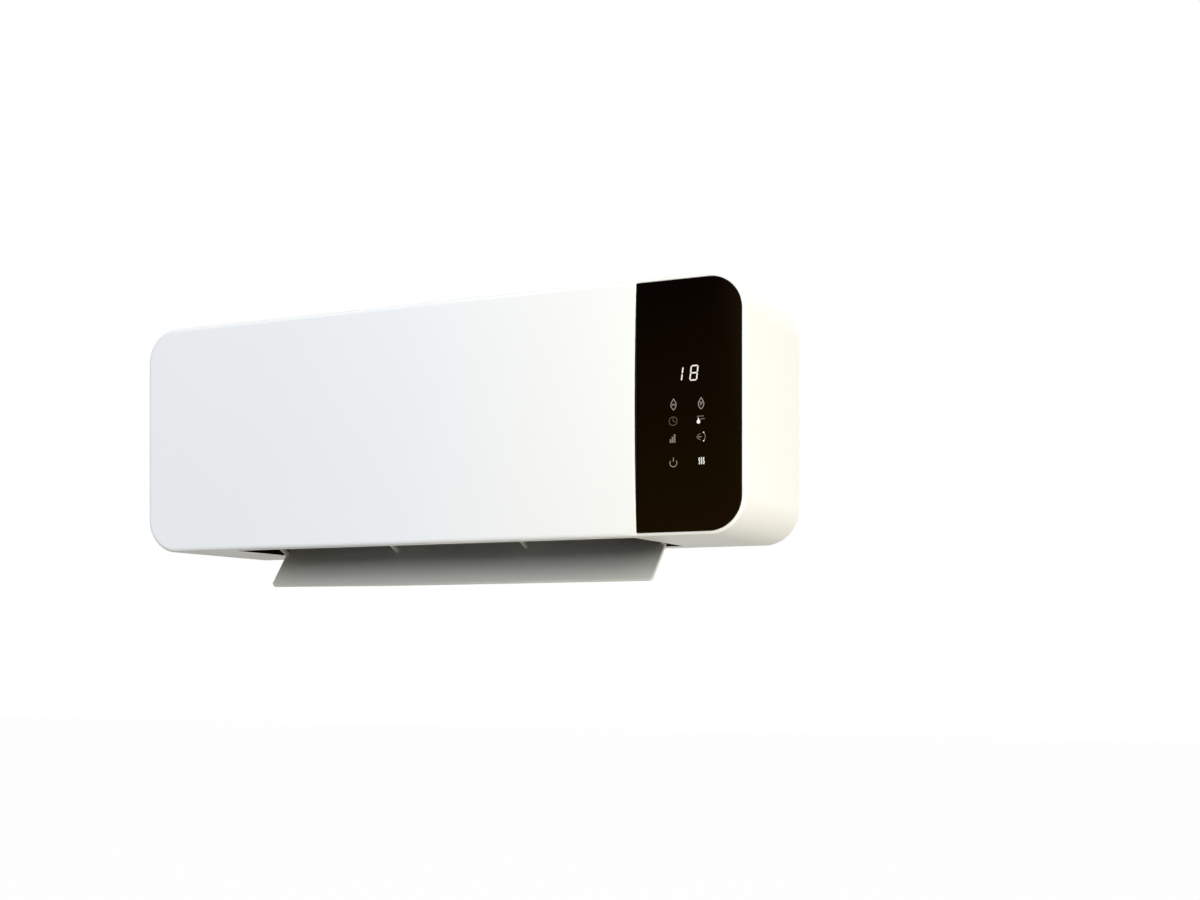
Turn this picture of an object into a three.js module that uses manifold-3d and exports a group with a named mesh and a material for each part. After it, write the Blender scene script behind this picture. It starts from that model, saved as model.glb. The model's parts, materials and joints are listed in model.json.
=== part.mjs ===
// Wall-hung fan heater for a bathroom: white shell, black control glass, swinging outlet louver.
// Millimetres, +Z up, +X to the right seen from the room, +Y into the wall. The origin is on the
// wall plane, behind the centre of the housing.
import * as THREE from 'three';
import { mergeVertices } from 'three/addons/utils/BufferGeometryUtils.js';
import Module from 'manifold-3d';

const wasm = await Module();
wasm.setup();

// ---------------------------------------------------------------- driving dimensions
// Clearances
const SEAT = 0.3;                 // between pieces that rest on each other
const RUNNING = 0.3;              // round a shaft in its bearing
const ROUND_SIDES = 20;           // sides of a turned piece

// Housing
const LEFT_BAY = 87;              // left end of the housing to the outlet slot
const OUTLET_LENGTH = 363;        // along the wall
const CONTROL_BAY = 90;           // outlet slot to the right end
const HEIGHT = 190;
const CORNER_RADIUS = 28;
const WALL = 2.5;
const RIM_WIDTH = 2.7;            // bright edge round the glass
const RIM_SETBACK = 0.8;          // rim behind the face of the glass
const RIM_ROUND = 2.4;            // rounding of the rim's outer edge

// Panels on the front
const PANEL_THICKNESS = 2.7;
const PANEL_CROWN = 3.3;          // how far the white panel bulges at mid height
const PANEL_CROWN_LEFT = 0.4;     // the same at its left end
const PANEL_INSET = 0.7;          // its edge inside the housing's outline
const PANEL_ROUND = [3.2, 2.2];   // rounding of that edge: inwards, and front to back
const GLASS_WIDTH = 81.3;
const PANEL_GAP = 0.4;            // joint between the white panel and the glass
const CLIP_SIZE = 5;              // snap clips behind the white panel
const CLIP_COUNT = 4;             // along each long side

// Outlet slot and the duct above it
const OUTLET_SETBACK = 8;         // glass face to the front edge of the slot
const OUTLET_DEPTH = 100;         // front to back
const DUCT_WALL = 2;
const DUCT_LEDGE = 6.5;           // black ledge behind the slot's front edge
const DUCT_RELIEF = 7;            // room behind the slot's rear edge for the louver's tail
const DUCT_END_RELIEF = 1.5;
const DUCT_HEIGHT = 38.2;
const DUCT_KNEE = 6;              // height of the sloping roof at the rear of the duct
const DUCT_FLANGE = 2.5;          // foot of the duct on the housing's floor
const THROAT_SETBACK = 44;        // slot's front edge to the heater opening

// Rear cover and wall plate
const REAR_MARGIN = 2.5;          // free space between the duct's foot and the cover's lip
const COVER_LIP = 7.5;            // rim of the rear cover, front to back
const COVER_RECESS = 2.3;         // depth of the recess for the wall plate
const WALL_GAP = 0.5;             // wall to the housing's rear edge
const PLATE_LENGTH = 400;
const PLATE_HEIGHT = 80;
const PLATE_THICKNESS = 2;
const PLATE_RISE = 20;            // centre of the plate above the centre of the housing
const HOOK_SPACING = 300;
const HOOK_WIDTH = 16;
const HOOK_REACH = 7;
const HOOK_LIP = 9;
const FIXING_SPACING = 240;       // holes for the wall screws
const FIXING_INSET = 12;
const FIXING_RADIUS = 2.6;

// Louver, drawn closed about its pivot
const LOUVER_FRONT = 48.3;        // pivot to the front edge
const LOUVER_REAR = 26;           // pivot to the tail
const LOUVER_OFFSET = 20;         // pivot to the louver's outer face
const LOUVER_THICKNESS = 2.4;
const LOUVER_OPEN = 52;           // degrees, as photographed
const LOUVER_LEFT_GAP = 1;
const LOUVER_RIGHT_GAP = 3;
const LUG_THICKNESS = 2.6;
const LUG_SHARES = [0, 0.317, 0.661, 1];    // their places along the louver
const LUG_BOSS = 5;
const PIVOT_SETBACK = 62.1;       // slot's front edge to the pivot
const PIVOT_RADIUS = 2.2;
const BUSH_WALL = 1.6;

// Louver motor
const STEPPER_RADIUS = 14;
const STEPPER_LENGTH = 19;
const STEPPER_SHAFT_OFFSET = 8;   // shaft below the centre of the can
const STEPPER_EAR_PITCH = 35;
const STEPPER_SHAFT_RADIUS = 2.4;

// Heater: corrugated fins between flat tubes, in a frame
const HEATER_LENGTH = 310;
const HEATER_DEPTH = 46;
const HEATER_HEIGHT = 24;
const HEATER_FROM_SLOT = 23;      // left end of the slot to the left end of the fins
const FRAME_SIDE = 6;
const FRAME_END = 16;
const FRAME_FLOOR = 1;
const FIN_ROWS = 3;
const FIN_PITCH = 8;
const FIN_SHEET = 0.6;
const TUBE_WIDTH = 4;
const TERMINAL_SHEET = 0.8;
const TERMINAL_HEIGHT = 6.3;
const TERMINAL_REACH = 12;

// Cross-flow fan and its casing
const FAN_RADIUS = 30;
const FAN_LENGTH = 300;
const FAN_BLADES = 18;
const FAN_SECTIONS = 3;
const BLADE_DEPTH = 7;
const BLADE_SHEET = 1.4;
const FAN_DISC = 2;
const FAN_RISE = 74;              // fan axis above the top of the duct
const FAN_SETBACK = 68;           // slot's front edge to the fan axis
const FAN_END_GAP = 5;            // wheel to the casing's ends
const MOTOR_BAY = 45;             // wheel's right end to the right end of the slot
const SCROLL_WALL = 2;
const SCROLL_START = 4;           // casing to fan at the top of the scroll
const SCROLL_GROWTH = 11;         // more room at its lower end
const TONGUE_GAP = 5.4;
const HUB_RADIUS = 8;
const HUB_LENGTH = 14;

// Fan bearing and motor
const SHAFT_RADIUS = 3;
const BEARING_LENGTH = 6;
const BEARING_RADIUS = 6;
const RUBBER_RADIUS = 12;
const STATOR_WIDTH = 60;
const STATOR_HEIGHT = 54;
const STATOR_LENGTH = 18;
const ROTOR_RADIUS = 12.4;
const ROTOR_GAP = 0.6;
const COIL_LENGTH = 26;
const COIL_THICKNESS = 7;
const STATOR_LIMB = 10;
const STATOR_NECK = 4;            // iron between the rotor and the coil's window
const STATOR_SHIFT = 6;           // stator's centre below the shaft
const BRACKET_SHEET = 2;
const BRACKET_POST = 4.4;
const BRACKET_WIDTH = 16;
const MOTOR_SCREW_PITCH = 44;
const MOTOR_SCREW_RADIUS = 1.6;

// Inlet grille on the top
const GRILLE_SETBACK = 17;        // slot's front edge to the grille opening
const GRILLE_DEPTH = 85;
const GRILLE_THICKNESS = 4;
const GRILLE_FLANGE = 3;
const GRILLE_ROWS = 8;
const GRILLE_COLUMNS = 4;
const GRILLE_BAR = 4;

// Control board, power board and what is on them
const BOARD_SHEET = 1.6;
const BOARD_MARGIN = 4;           // board edges to the walls of the control bay
const CONTROL_BOARD_HEIGHT = 130;
const CONTROL_BOARD_SETBACK = 9.5;
const DISPLAY_SIZE = [26, 5.4, 18];
const DISPLAY_RISE = 22.5;
const ICON_GUIDE_SIZE = [40, 5.4, 62];
const ICON_GUIDE_RISE = -20.8;
const ICON_ROWS = [21, 9, -3, -21];
const ICON_SPREAD = 21.3;
const ICON_HOLE = 3.6;
const IR_RADIUS = 3;              // remote control's receiver, above the display
const IR_LENGTH = 4;
const BUZZER_RADIUS = 6;
const BUZZER_LENGTH = 7;
const POWER_BOARD_HEIGHT = 110;
const POWER_BOARD_RISE = 18;      // its centre above the centre of the housing
const RELAY_SIZE = [19, 15.5, 15];
const RELAY_PLACES = [-14, 12];
const RELAY_RISE = 22;
const TRANSFORMER_SIZE = [26, 22, 22];
const TRANSFORMER_RISE = -6;
const TERMINAL_BLOCK_SIZE = [34, 14, 12];
const TERMINAL_BLOCK_RISE = -32;
const STANDOFF_RADIUS = 3.2;
const STANDOFF_LENGTH = 6;
const LEAD_RADIUS = 1.3;
const SCREW_RADIUS = 1.4;
const SCREW_HEAD_RADIUS = 3;
const SCREW_HEAD = 1.8;
const COVER_SCREW_LENGTH = 14;
const COVER_BOSS = 12;
const GROMMET_RADIUS = 9;
const GROMMET_BORE = 4.6;

// Thermal guards beside the heater, measured from its right end
const THERMOSTAT_RADIUS = 8;
const THERMOSTAT_PLACE = 30;
const FUSE_RADIUS = 2.2;
const FUSE_LENGTH = 14;
const FUSE_PLACE = 70;
const SENSOR_RADIUS = 2;
const SENSOR_LENGTH = 9;

// ---------------------------------------------------------------- derived places
const WIDTH = LEFT_BAY + OUTLET_LENGTH + CONTROL_BAY;
const DEPTH = OUTLET_SETBACK + OUTLET_DEPTH + DUCT_RELIEF + DUCT_WALL + DUCT_FLANGE
  + REAR_MARGIN + COVER_LIP + WALL_GAP;
const RIGHT = WIDTH / 2;
const LEFT = -RIGHT;
const TOP = HEIGHT / 2;
const BOTTOM = -TOP;
const FRONT = -DEPTH;
const FLOOR = BOTTOM + WALL + SEAT;               // underside of what stands in the housing
const CEILING = TOP - WALL - SEAT;
const panelRear = FRONT + PANEL_THICKNESS;
const faceRear = panelRear + SEAT + WALL;         // inner side of the housing's front wall
const outletLeft = LEFT + LEFT_BAY;
const outletRight = outletLeft + OUTLET_LENGTH;
const outletFront = FRONT + OUTLET_SETBACK;
const outletRear = outletFront + OUTLET_DEPTH;
const ductTop = FLOOR + DUCT_HEIGHT;
const throatFront = outletFront + THROAT_SETBACK;
const throatRear = throatFront + HEATER_DEPTH + 2 * SEAT;
const ductLeft = outletLeft - DUCT_END_RELIEF;
const ductRight = outletRight + DUCT_END_RELIEF;
const coverRear = -COVER_RECESS - SEAT - 0.2;     // rear face of the cover inside its recess
const coverFront = coverRear - WALL;
const pivot = new THREE.Vector3(0, outletFront + PIVOT_SETBACK, BOTTOM + LOUVER_OFFSET);
const heaterLeft = outletLeft + HEATER_FROM_SLOT;
const heaterRight = heaterLeft + HEATER_LENGTH;
const frameBottom = ductTop + SEAT;
const frameTop = frameBottom + FRAME_FLOOR + HEATER_HEIGHT + FRAME_FLOOR;
const scrollBase = frameTop + SEAT;
const fan = new THREE.Vector3(outletRight - MOTOR_BAY - FAN_LENGTH, outletFront + FAN_SETBACK,
  ductTop + FAN_RISE);
const fanRight = fan.x + FAN_LENGTH;
const scrollLeft = fan.x - FAN_END_GAP;           // inner faces of the casing's ends
const scrollRight = fanRight + FAN_END_GAP;
const grilleBottom = CEILING - 1.6;
const scrollTop = grilleBottom - SEAT;
const motorStart = scrollRight + SCROLL_WALL + SEAT;
const statorStart = motorStart + BRACKET_SHEET + BRACKET_POST + SEAT;
const statorEnd = statorStart + STATOR_LENGTH;
const bayLeft = ductRight + DUCT_WALL + SEAT;
const boardRight = RIGHT - WALL - BOARD_MARGIN;
const glassLeft = RIGHT - RIM_WIDTH - SEAT - GLASS_WIDTH;
const glassCentre = glassLeft + GLASS_WIDTH / 2;
const controlFront = FRONT + CONTROL_BOARD_SETBACK;
const powerFront = coverFront - STANDOFF_LENGTH - SEAT - BOARD_SHEET;

// ---------------------------------------------------------------- materials
const finish = (color, roughness, metalness = 0) =>
  new THREE.MeshStandardMaterial({ color, roughness, metalness });
const whiteShell = finish(0xf1f1ee, 0.4);
const whitePanel = finish(0xf5f6f7, 0.25);
const blackGlass = finish(0x0c0705, 0.05);
const blackPlastic = finish(0x151515, 0.6);
const greyPlastic = finish(0x8b8d8f, 0.6);
const rubber = finish(0x1c1c1c, 0.9);
const zinc = finish(0xb9bcc0, 0.4, 0.9);
const aluminium = finish(0xc9ccd0, 0.35, 0.9);
const steel = finish(0xa9adb2, 0.3, 1);
const bronze = finish(0xa97b45, 0.4, 0.9);
const copper = finish(0xb4652f, 0.35, 0.9);
const mica = finish(0xc9b48c, 0.7);
const circuitBoard = finish(0x1d5a34, 0.5);
const relayPlastic = finish(0x1d3f77, 0.5);
const leadRed = finish(0xa5231c, 0.6);
const leadBlue = finish(0x27518f, 0.6);

// ---------------------------------------------------------------- solid helpers
function solid(geometry) {
  const bare = geometry.clone();
  bare.deleteAttribute('normal');
  bare.deleteAttribute('uv');
  const merged = mergeVertices(bare, 1e-4);
  return new wasm.Manifold(new wasm.Mesh({
    numProp: 3,
    vertProperties: new Float32Array(merged.attributes.position.array),
    triVerts: new Uint32Array(merged.index.array),
  }));
}

function geometryOf(body) {
  const mesh = body.getMesh();
  const geometry = new THREE.BufferGeometry();
  geometry.setAttribute('position', new THREE.BufferAttribute(mesh.vertProperties, 3));
  geometry.setIndex(new THREE.BufferAttribute(mesh.triVerts, 1));
  geometry.computeVertexNormals();
  return geometry;
}

const join = (...bodies) => bodies.reduce((whole, body) => whole.add(body));
const cut = (body, ...tools) => tools.reduce((rest, tool) => rest.subtract(tool), body);

// Extrudes a flat outline along one axis. The outline's two numbers are y,z along x; x,z along y;
// and x,y along z.
const EXTRUDE_BASIS = {
  x: [[0, 1, 0], [0, 0, 1], [1, 0, 0]],
  y: [[1, 0, 0], [0, 0, 1], [0, -1, 0]],
  z: [[1, 0, 0], [0, 1, 0], [0, 0, 1]],
};

function extrude(axis, outline, from, to, holes = []) {
  const shape = new THREE.Shape(outline.map(([a, b]) => new THREE.Vector2(a, b)));
  for (const hole of holes) {
    shape.holes.push(new THREE.Path(hole.map(([a, b]) => new THREE.Vector2(a, b))));
  }
  const geometry = new THREE.ExtrudeGeometry(shape, { depth: to - from, bevelEnabled: false });
  const [right, up, out] = EXTRUDE_BASIS[axis].map((v) => new THREE.Vector3(...v));
  const place = new THREE.Matrix4().makeBasis(right, up, out);
  place.setPosition(out.clone().multiplyScalar(axis === 'y' ? -to : from));
  geometry.applyMatrix4(place);
  return solid(geometry);
}

const rectangle = (a0, a1, b0, b1) => [[a0, b0], [a1, b0], [a1, b1], [a0, b1]];

const block = (x0, x1, y0, y1, z0, z1) => extrude('z', rectangle(x0, x1, y0, y1), z0, z1);

function circle(a, b, radius, sides = ROUND_SIDES) {
  const step = (2 * Math.PI) / sides;
  return Array.from({ length: sides }, (_, i) =>
    [a + radius * Math.cos(i * step), b + radius * Math.sin(i * step)]);
}

const rod = (axis, a, b, radius, from, to, sides) =>
  extrude(axis, circle(a, b, radius, sides), from, to);

const tube = (axis, a, b, outer, inner, from, to) =>
  cut(rod(axis, a, b, outer, from, to), rod(axis, a, b, inner, from - 1, to + 1));

// Rounded rectangle, x,z, with its own radius at each corner: right top, left top, left bottom,
// right bottom.
function roundedOutline(x0, x1, z0, z1, radii, steps = 8) {
  const centres = [[x1, z1, -1, -1], [x0, z1, 1, -1], [x0, z0, 1, 1], [x1, z0, -1, 1]];
  return centres.flatMap(([x, z, sx, sz], corner) => {
    const radius = radii[corner];
    if (radius === 0) return [[x, z]];
    return Array.from({ length: steps + 1 }, (_, i) => {
      const angle = (corner + i / steps) * (Math.PI / 2);
      return [x + sx * radius + radius * Math.cos(angle), z + sz * radius + radius * Math.sin(angle)];
    });
  });
}

const shellOutline = (inset) => roundedOutline(LEFT + inset, RIGHT - inset, BOTTOM + inset,
  TOP - inset, Array(4).fill(CORNER_RADIUS - inset));

// Closed body through a row of equal rings, each a list of x,z points at its own y.
function loft(rings) {
  const count = rings[0].points.length;
  const positions = rings.flatMap(({ points, y }) => points.flatMap(([x, z]) => [x, y, z]));
  const faces = [];
  for (let ring = 0; ring + 1 < rings.length; ring += 1) {
    for (let i = 0; i < count; i += 1) {
      const a = ring * count + i;
      const b = ring * count + ((i + 1) % count);
      faces.push(a, a + count, b, b, a + count, b + count);
    }
  }
  const cap = THREE.ShapeUtils.triangulateShape(
    rings[0].points.map(([x, z]) => new THREE.Vector2(x, z)), []);
  const last = (rings.length - 1) * count;
  for (const [a, b, c] of cap) {
    faces.push(a, b, c);
    faces.push(last + a, last + c, last + b);
  }
  const geometry = new THREE.BufferGeometry();
  geometry.setAttribute('position', new THREE.Float32BufferAttribute(positions, 3));
  geometry.setIndex(faces);
  return solid(geometry);
}

// The same bent line, moved sideways by an even distance.
function offsetLine(points, distance) {
  const line = points.map(([a, b]) => new THREE.Vector2(a, b));
  return line.map((point, i) => {
    const before = line[Math.max(i - 1, 0)];
    const after = line[Math.min(i + 1, line.length - 1)];
    const into = (i === 0 ? after.clone().sub(point) : point.clone().sub(before)).normalize();
    const away = (i === line.length - 1 ? into : after.clone().sub(point)).clone().normalize();
    const normal = new THREE.Vector2(-(into.y + away.y), into.x + away.x).normalize();
    const spread = distance / normal.dot(new THREE.Vector2(-into.y, into.x));
    return [point.x + normal.x * spread, point.y + normal.y * spread];
  });
}

// Sheet of even thickness along a bent line, as an outline.
const ribbon = (points, thickness) => [...points, ...offsetLine(points, thickness).reverse()];

// Screw along +Y, its head's front face at y = 0 and its shank behind it.
function screwGeometry(length, radius = SCREW_RADIUS) {
  const profile = [[0, 0], [SCREW_HEAD_RADIUS * 0.8, 0], [SCREW_HEAD_RADIUS, SCREW_HEAD * 0.4],
    [SCREW_HEAD_RADIUS, SCREW_HEAD], [radius, SCREW_HEAD], [radius, length - radius],
    [0, length]];
  return new THREE.LatheGeometry(profile.map(([r, y]) => new THREE.Vector2(r, y)), 10);
}

function leadGeometry(points) {
  const path = new THREE.CatmullRomCurve3(points.map((p) => new THREE.Vector3(...p)));
  const section = new THREE.Shape(circle(0, 0, LEAD_RADIUS, 6).map((p) => new THREE.Vector2(...p)));
  return new THREE.ExtrudeGeometry(section, { extrudePath: path, steps: 12 });
}

const heater = new THREE.Group();
heater.name = 'wall_fan_heater';

function add(name, shape, material, parent = heater) {
  const geometry = shape instanceof THREE.BufferGeometry ? shape : geometryOf(shape);
  const mesh = new THREE.Mesh(geometry, material);
  mesh.name = name;
  parent.add(mesh);
  return mesh;
}

// ---------------------------------------------------------------- housing
const panelInset = RIM_WIDTH + SEAT;
const coverScrewX = RIGHT - CORNER_RADIUS - COVER_BOSS / 2;
const coverScrewZ = TOP - WALL - COVER_BOSS / 2;
const coverLipFront = -WALL_GAP - COVER_LIP;
const fourCorners = (x, z, reachX, reachZ) => [-1, 1].flatMap((sx) =>
  [-1, 1].map((sz) => [x + sx * reachX, z + sz * reachZ]));
const coverScrewPlaces = fourCorners(0, 0, coverScrewX, coverScrewZ);
const controlPosts = fourCorners(glassCentre, 0, boardRight - glassCentre - 5,
  CONTROL_BOARD_HEIGHT / 2 - 6);
const firstClip = LEFT + CORNER_RADIUS + CLIP_SIZE;
const lastClip = glassLeft - 5 * CLIP_SIZE;
const clipPlaces = Array.from({ length: CLIP_COUNT }, (_, i) =>
  firstClip + (i * (lastClip - firstClip)) / (CLIP_COUNT - 1));
const irRise = CONTROL_BOARD_HEIGHT / 2 - 12;
const clipRise = TOP - panelInset - 3 * CLIP_SIZE;

function housingShell() {
  const rimFront = FRONT + RIM_SETBACK;
  const roundSteps = 4;
  const edge = Array.from({ length: roundSteps + 1 }, (_, i) => {
    const angle = (i / roundSteps) * (Math.PI / 2);
    return {
      points: shellOutline(RIM_ROUND * (1 - Math.sin(angle))),
      y: rimFront + RIM_ROUND * (1 - Math.cos(angle)),
    };
  });
  const outside = loft([...edge, { points: shellOutline(0), y: -WALL_GAP }]);
  const pocket = extrude('y', shellOutline(RIM_WIDTH), FRONT - 1, panelRear + SEAT);
  const panelSeat = block(LEFT - 1, glassLeft - PANEL_GAP + SEAT, FRONT - 1, panelRear + SEAT,
    BOTTOM - 1, TOP + 1);
  const inside = extrude('y', shellOutline(WALL), faceRear, 1);
  return cut(outside, pocket, panelSeat, inside);
}

function coverBosses() {
  return coverScrewPlaces.map(([x, z]) => {
    const wallZ = Math.sign(z) * (TOP - WALL / 2);
    const innerZ = z - (Math.sign(z) * COVER_BOSS) / 2;
    const [low, high] = [Math.min(wallZ, innerZ), Math.max(wallZ, innerZ)];
    return block(x - COVER_BOSS / 2, x + COVER_BOSS / 2, coverLipFront - SEAT - COVER_SCREW_LENGTH,
      coverLipFront - SEAT, low, high);
  });
}

function frontHousing() {
  const posts = controlPosts.map(([x, z]) =>
    rod('y', x, z, STANDOFF_RADIUS, faceRear - 1, controlFront - SEAT, 12));
  const whole = join(housingShell(), ...coverBosses(), ...posts);
  const pilots = coverScrewPlaces.map(([x, z]) =>
    rod('y', x, z, SCREW_RADIUS + RUNNING, coverLipFront - COVER_SCREW_LENGTH, 0, 12));
  const slot = block(outletLeft, outletRight, outletFront, outletRear, BOTTOM - 1, BOTTOM + WALL + 1);
  const inlet = block(scrollLeft, scrollRight, outletFront + GRILLE_SETBACK,
    outletFront + GRILLE_SETBACK + GRILLE_DEPTH, TOP - WALL - 1, TOP + 1);
  const windowHalf = ICON_GUIDE_SIZE[0] / 2 + 2;
  const display = block(glassCentre - windowHalf, glassCentre + windowHalf, FRONT, faceRear + 1,
    ICON_GUIDE_RISE - ICON_GUIDE_SIZE[2] / 2 - 2, DISPLAY_RISE + DISPLAY_SIZE[2] / 2 + 2);
  const clips = clipPlaces.flatMap((x) => [-1, 1].map((side) =>
    block(x - CLIP_SIZE / 2 - 1, x + CLIP_SIZE / 2 + 1, FRONT, faceRear + 1,
      side * clipRise - CLIP_SIZE, side * clipRise + CLIP_SIZE)));
  const receiver = rod('y', glassCentre, irRise, IR_RADIUS + 1, FRONT, faceRear + 1, 16);
  return cut(whole, ...pilots, slot, inlet, display, receiver, ...clips);
}

function frontPanel() {
  const left = LEFT + PANEL_INSET;
  const right = glassLeft - PANEL_GAP;
  const low = BOTTOM + PANEL_INSET;
  const high = -low;
  const columns = 6;
  const rows = 16;
  const grid = (x, z) => {
    const along = (x - left) / (right - left);
    const crown = PANEL_CROWN_LEFT + (PANEL_CROWN - PANEL_CROWN_LEFT) * along;
    return FRONT - crown * (1 - (z / high) ** 2);
  };
  const rings = Array.from({ length: columns + 1 }, (_, i) => {
    const x = left + ((right - left) * i) / columns;
    const face = Array.from({ length: rows + 1 }, (__, j) => {
      const z = low + ((high - low) * j) / rows;
      return [x, grid(x, z), z];
    });
    return [[x, panelRear, low], [x, panelRear, high], ...face.reverse()];
  });
  const crowned = crownedBlock(rings);
  const [inwards, back] = PANEL_ROUND;
  const roundSteps = 3;
  const edge = Array.from({ length: roundSteps + 1 }, (_, i) => {
    const angle = (i / roundSteps) * (Math.PI / 2);
    return [inwards * (1 - Math.sin(angle)), FRONT + back * (1 - Math.cos(angle))];
  });
  const levels = [[inwards, FRONT - 2 * PANEL_CROWN], ...edge, [0, panelRear]];
  const outline = loft(levels.map(([inset, y]) => {
    const corner = CORNER_RADIUS - PANEL_INSET - inset;
    return { y, points: roundedOutline(left + inset, right, low + inset, high - inset,
      [0, corner, corner, 0]) };
  }));
  const clipBodies = clipPlaces.flatMap((x) => [-1, 1].map((side) => extrude('x', [
    [panelRear - 1, side * clipRise - 1.2], [faceRear + 2.4, side * clipRise - 1.2],
    [faceRear + 2.4, side * clipRise + 2.2], [faceRear + SEAT, side * clipRise + 2.2],
    [faceRear + SEAT, side * clipRise + 1.2], [panelRear - 1, side * clipRise + 1.2],
  ], x - CLIP_SIZE / 2, x + CLIP_SIZE / 2)));
  return join(crowned.intersect(outline), ...clipBodies);
}

// Block whose rings stand at growing x, each an anticlockwise loop of x,y,z points.
function crownedBlock(rings) {
  const count = rings[0].length;
  const faces = [];
  for (let ring = 0; ring + 1 < rings.length; ring += 1) {
    for (let i = 0; i < count; i += 1) {
      const a = ring * count + i;
      const b = ring * count + ((i + 1) % count);
      faces.push(a, b, a + count, b, b + count, a + count);
    }
  }
  const cap = THREE.ShapeUtils.triangulateShape(
    rings[0].map(([, y, z]) => new THREE.Vector2(y, z)), []);
  const last = (rings.length - 1) * count;
  for (const [a, b, c] of cap) {
    faces.push(a, c, b);
    faces.push(last + a, last + b, last + c);
  }
  const geometry = new THREE.BufferGeometry();
  geometry.setAttribute('position', new THREE.Float32BufferAttribute(rings.flat(2), 3));
  geometry.setIndex(faces);
  return solid(geometry);
}

function controlGlass() {
  const corner = CORNER_RADIUS - panelInset;
  const outline = roundedOutline(glassLeft, RIGHT - panelInset, BOTTOM + panelInset,
    TOP - panelInset, [corner, 0, 0, corner]);
  return extrude('y', outline, FRONT, panelRear);
}

function inletGrille() {
  const front = outletFront + GRILLE_SETBACK;
  const rear = front + GRILLE_DEPTH;
  const flange = block(scrollLeft - GRILLE_FLANGE, scrollRight + GRILLE_FLANGE, front - GRILLE_FLANGE,
    rear + GRILLE_FLANGE, grilleBottom, CEILING);
  const plate = block(scrollLeft + SEAT, scrollRight - SEAT, front + SEAT, rear - SEAT, grilleBottom,
    grilleBottom + GRILLE_THICKNESS);
  const cellX = (scrollRight - scrollLeft - GRILLE_BAR) / GRILLE_COLUMNS;
  const cellY = (GRILLE_DEPTH - GRILLE_BAR) / GRILLE_ROWS;
  const slots = [];
  for (let column = 0; column < GRILLE_COLUMNS; column += 1) {
    for (let row = 0; row < GRILLE_ROWS; row += 1) {
      const x = scrollLeft + GRILLE_BAR + column * cellX;
      const y = front + GRILLE_BAR + row * cellY;
      slots.push(block(x, x + cellX - GRILLE_BAR, y, y + cellY - GRILLE_BAR,
        grilleBottom - 1, TOP + 1));
    }
  }
  return cut(join(flange, plate), ...slots);
}

// ---------------------------------------------------------------- rear cover and wall plate
const hookPlaces = [-HOOK_SPACING / 2, HOOK_SPACING / 2];
const hookBottom = PLATE_RISE + HOOK_LIP;
const powerCentre = (bayLeft + boardRight) / 2;
const powerHalf = (boardRight - bayLeft) / 2 - BOARD_MARGIN;
const powerPosts = fourCorners(powerCentre, POWER_BOARD_RISE, powerHalf - 5, POWER_BOARD_HEIGHT / 2 - 5);
const cableX = powerCentre;
const cableZ = POWER_BOARD_RISE - POWER_BOARD_HEIGHT / 2 - GROMMET_RADIUS - 14;

function rearCover() {
  const lip = extrude('y', shellOutline(WALL + SEAT), coverLipFront, -WALL_GAP,
    [shellOutline(2 * WALL + SEAT)]);
  const plate = extrude('y', shellOutline(WALL + SEAT + 0.5), coverFront, coverRear);
  const bosses = coverScrewPlaces.map(([x, z]) => block(x - COVER_BOSS / 2 + SEAT,
    x + COVER_BOSS / 2 - SEAT, coverLipFront, coverRear - 1,
    ...(z > 0 ? [z - COVER_BOSS / 2, TOP - 2 * WALL] : [BOTTOM + 2 * WALL, z + COVER_BOSS / 2])));
  const posts = powerPosts.map(([x, z]) =>
    rod('y', x, z, STANDOFF_RADIUS, coverFront - STANDOFF_LENGTH, coverRear - 1, 12));
  const whole = join(lip, plate, ...bosses, ...posts);
  const screwHoles = coverScrewPlaces.flatMap(([x, z]) => [
    rod('y', x, z, SCREW_RADIUS + RUNNING, coverLipFront - 1, 1, 12),
    rod('y', x, z, SCREW_HEAD_RADIUS + RUNNING, coverRear - SCREW_HEAD - SEAT, 1, 12)]);
  const hookSlots = hookPlaces.map((x) => block(x - HOOK_WIDTH / 2 - 1, x + HOOK_WIDTH / 2 + 1,
    coverFront - 1, 1, hookBottom - HOOK_LIP, hookBottom + PLATE_THICKNESS + SEAT));
  const cableHole = rod('y', cableX, cableZ, GROMMET_RADIUS, coverFront - 1, 1);
  return cut(whole, ...screwHoles, ...hookSlots, cableHole);
}

function wallPlate() {
  const half = PLATE_LENGTH / 2;
  const sheet = extrude('y', roundedOutline(-half, half, PLATE_RISE - PLATE_HEIGHT / 2,
    PLATE_RISE + PLATE_HEIGHT / 2, Array(4).fill(6), 3), -PLATE_THICKNESS, 0);
  const hooks = hookPlaces.map((x) => extrude('x', [
    [-1, hookBottom], [-1, hookBottom + PLATE_THICKNESS],
    [-HOOK_REACH, hookBottom + PLATE_THICKNESS],
    [-HOOK_REACH, hookBottom + HOOK_LIP],
    [-PLATE_THICKNESS - HOOK_REACH, hookBottom + HOOK_LIP],
    [-PLATE_THICKNESS - HOOK_REACH, hookBottom]].reverse(),
  x - HOOK_WIDTH / 2, x + HOOK_WIDTH / 2));
  const holes = fourCorners(0, PLATE_RISE, FIXING_SPACING / 2, PLATE_HEIGHT / 2 - FIXING_INSET)
    .map(([x, z]) => rod('y', x, z, FIXING_RADIUS, -PLATE_THICKNESS - 1, 1, 12));
  return cut(join(sheet, ...hooks), ...holes);
}

const cableGrommet = () => join(
  tube('y', cableX, cableZ, GROMMET_RADIUS - SEAT, GROMMET_BORE, coverFront - 3, coverRear + 1.6),
  tube('y', cableX, cableZ, GROMMET_RADIUS + 2, GROMMET_BORE, coverFront - SEAT - 2.4,
    coverFront - SEAT),
);

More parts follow.
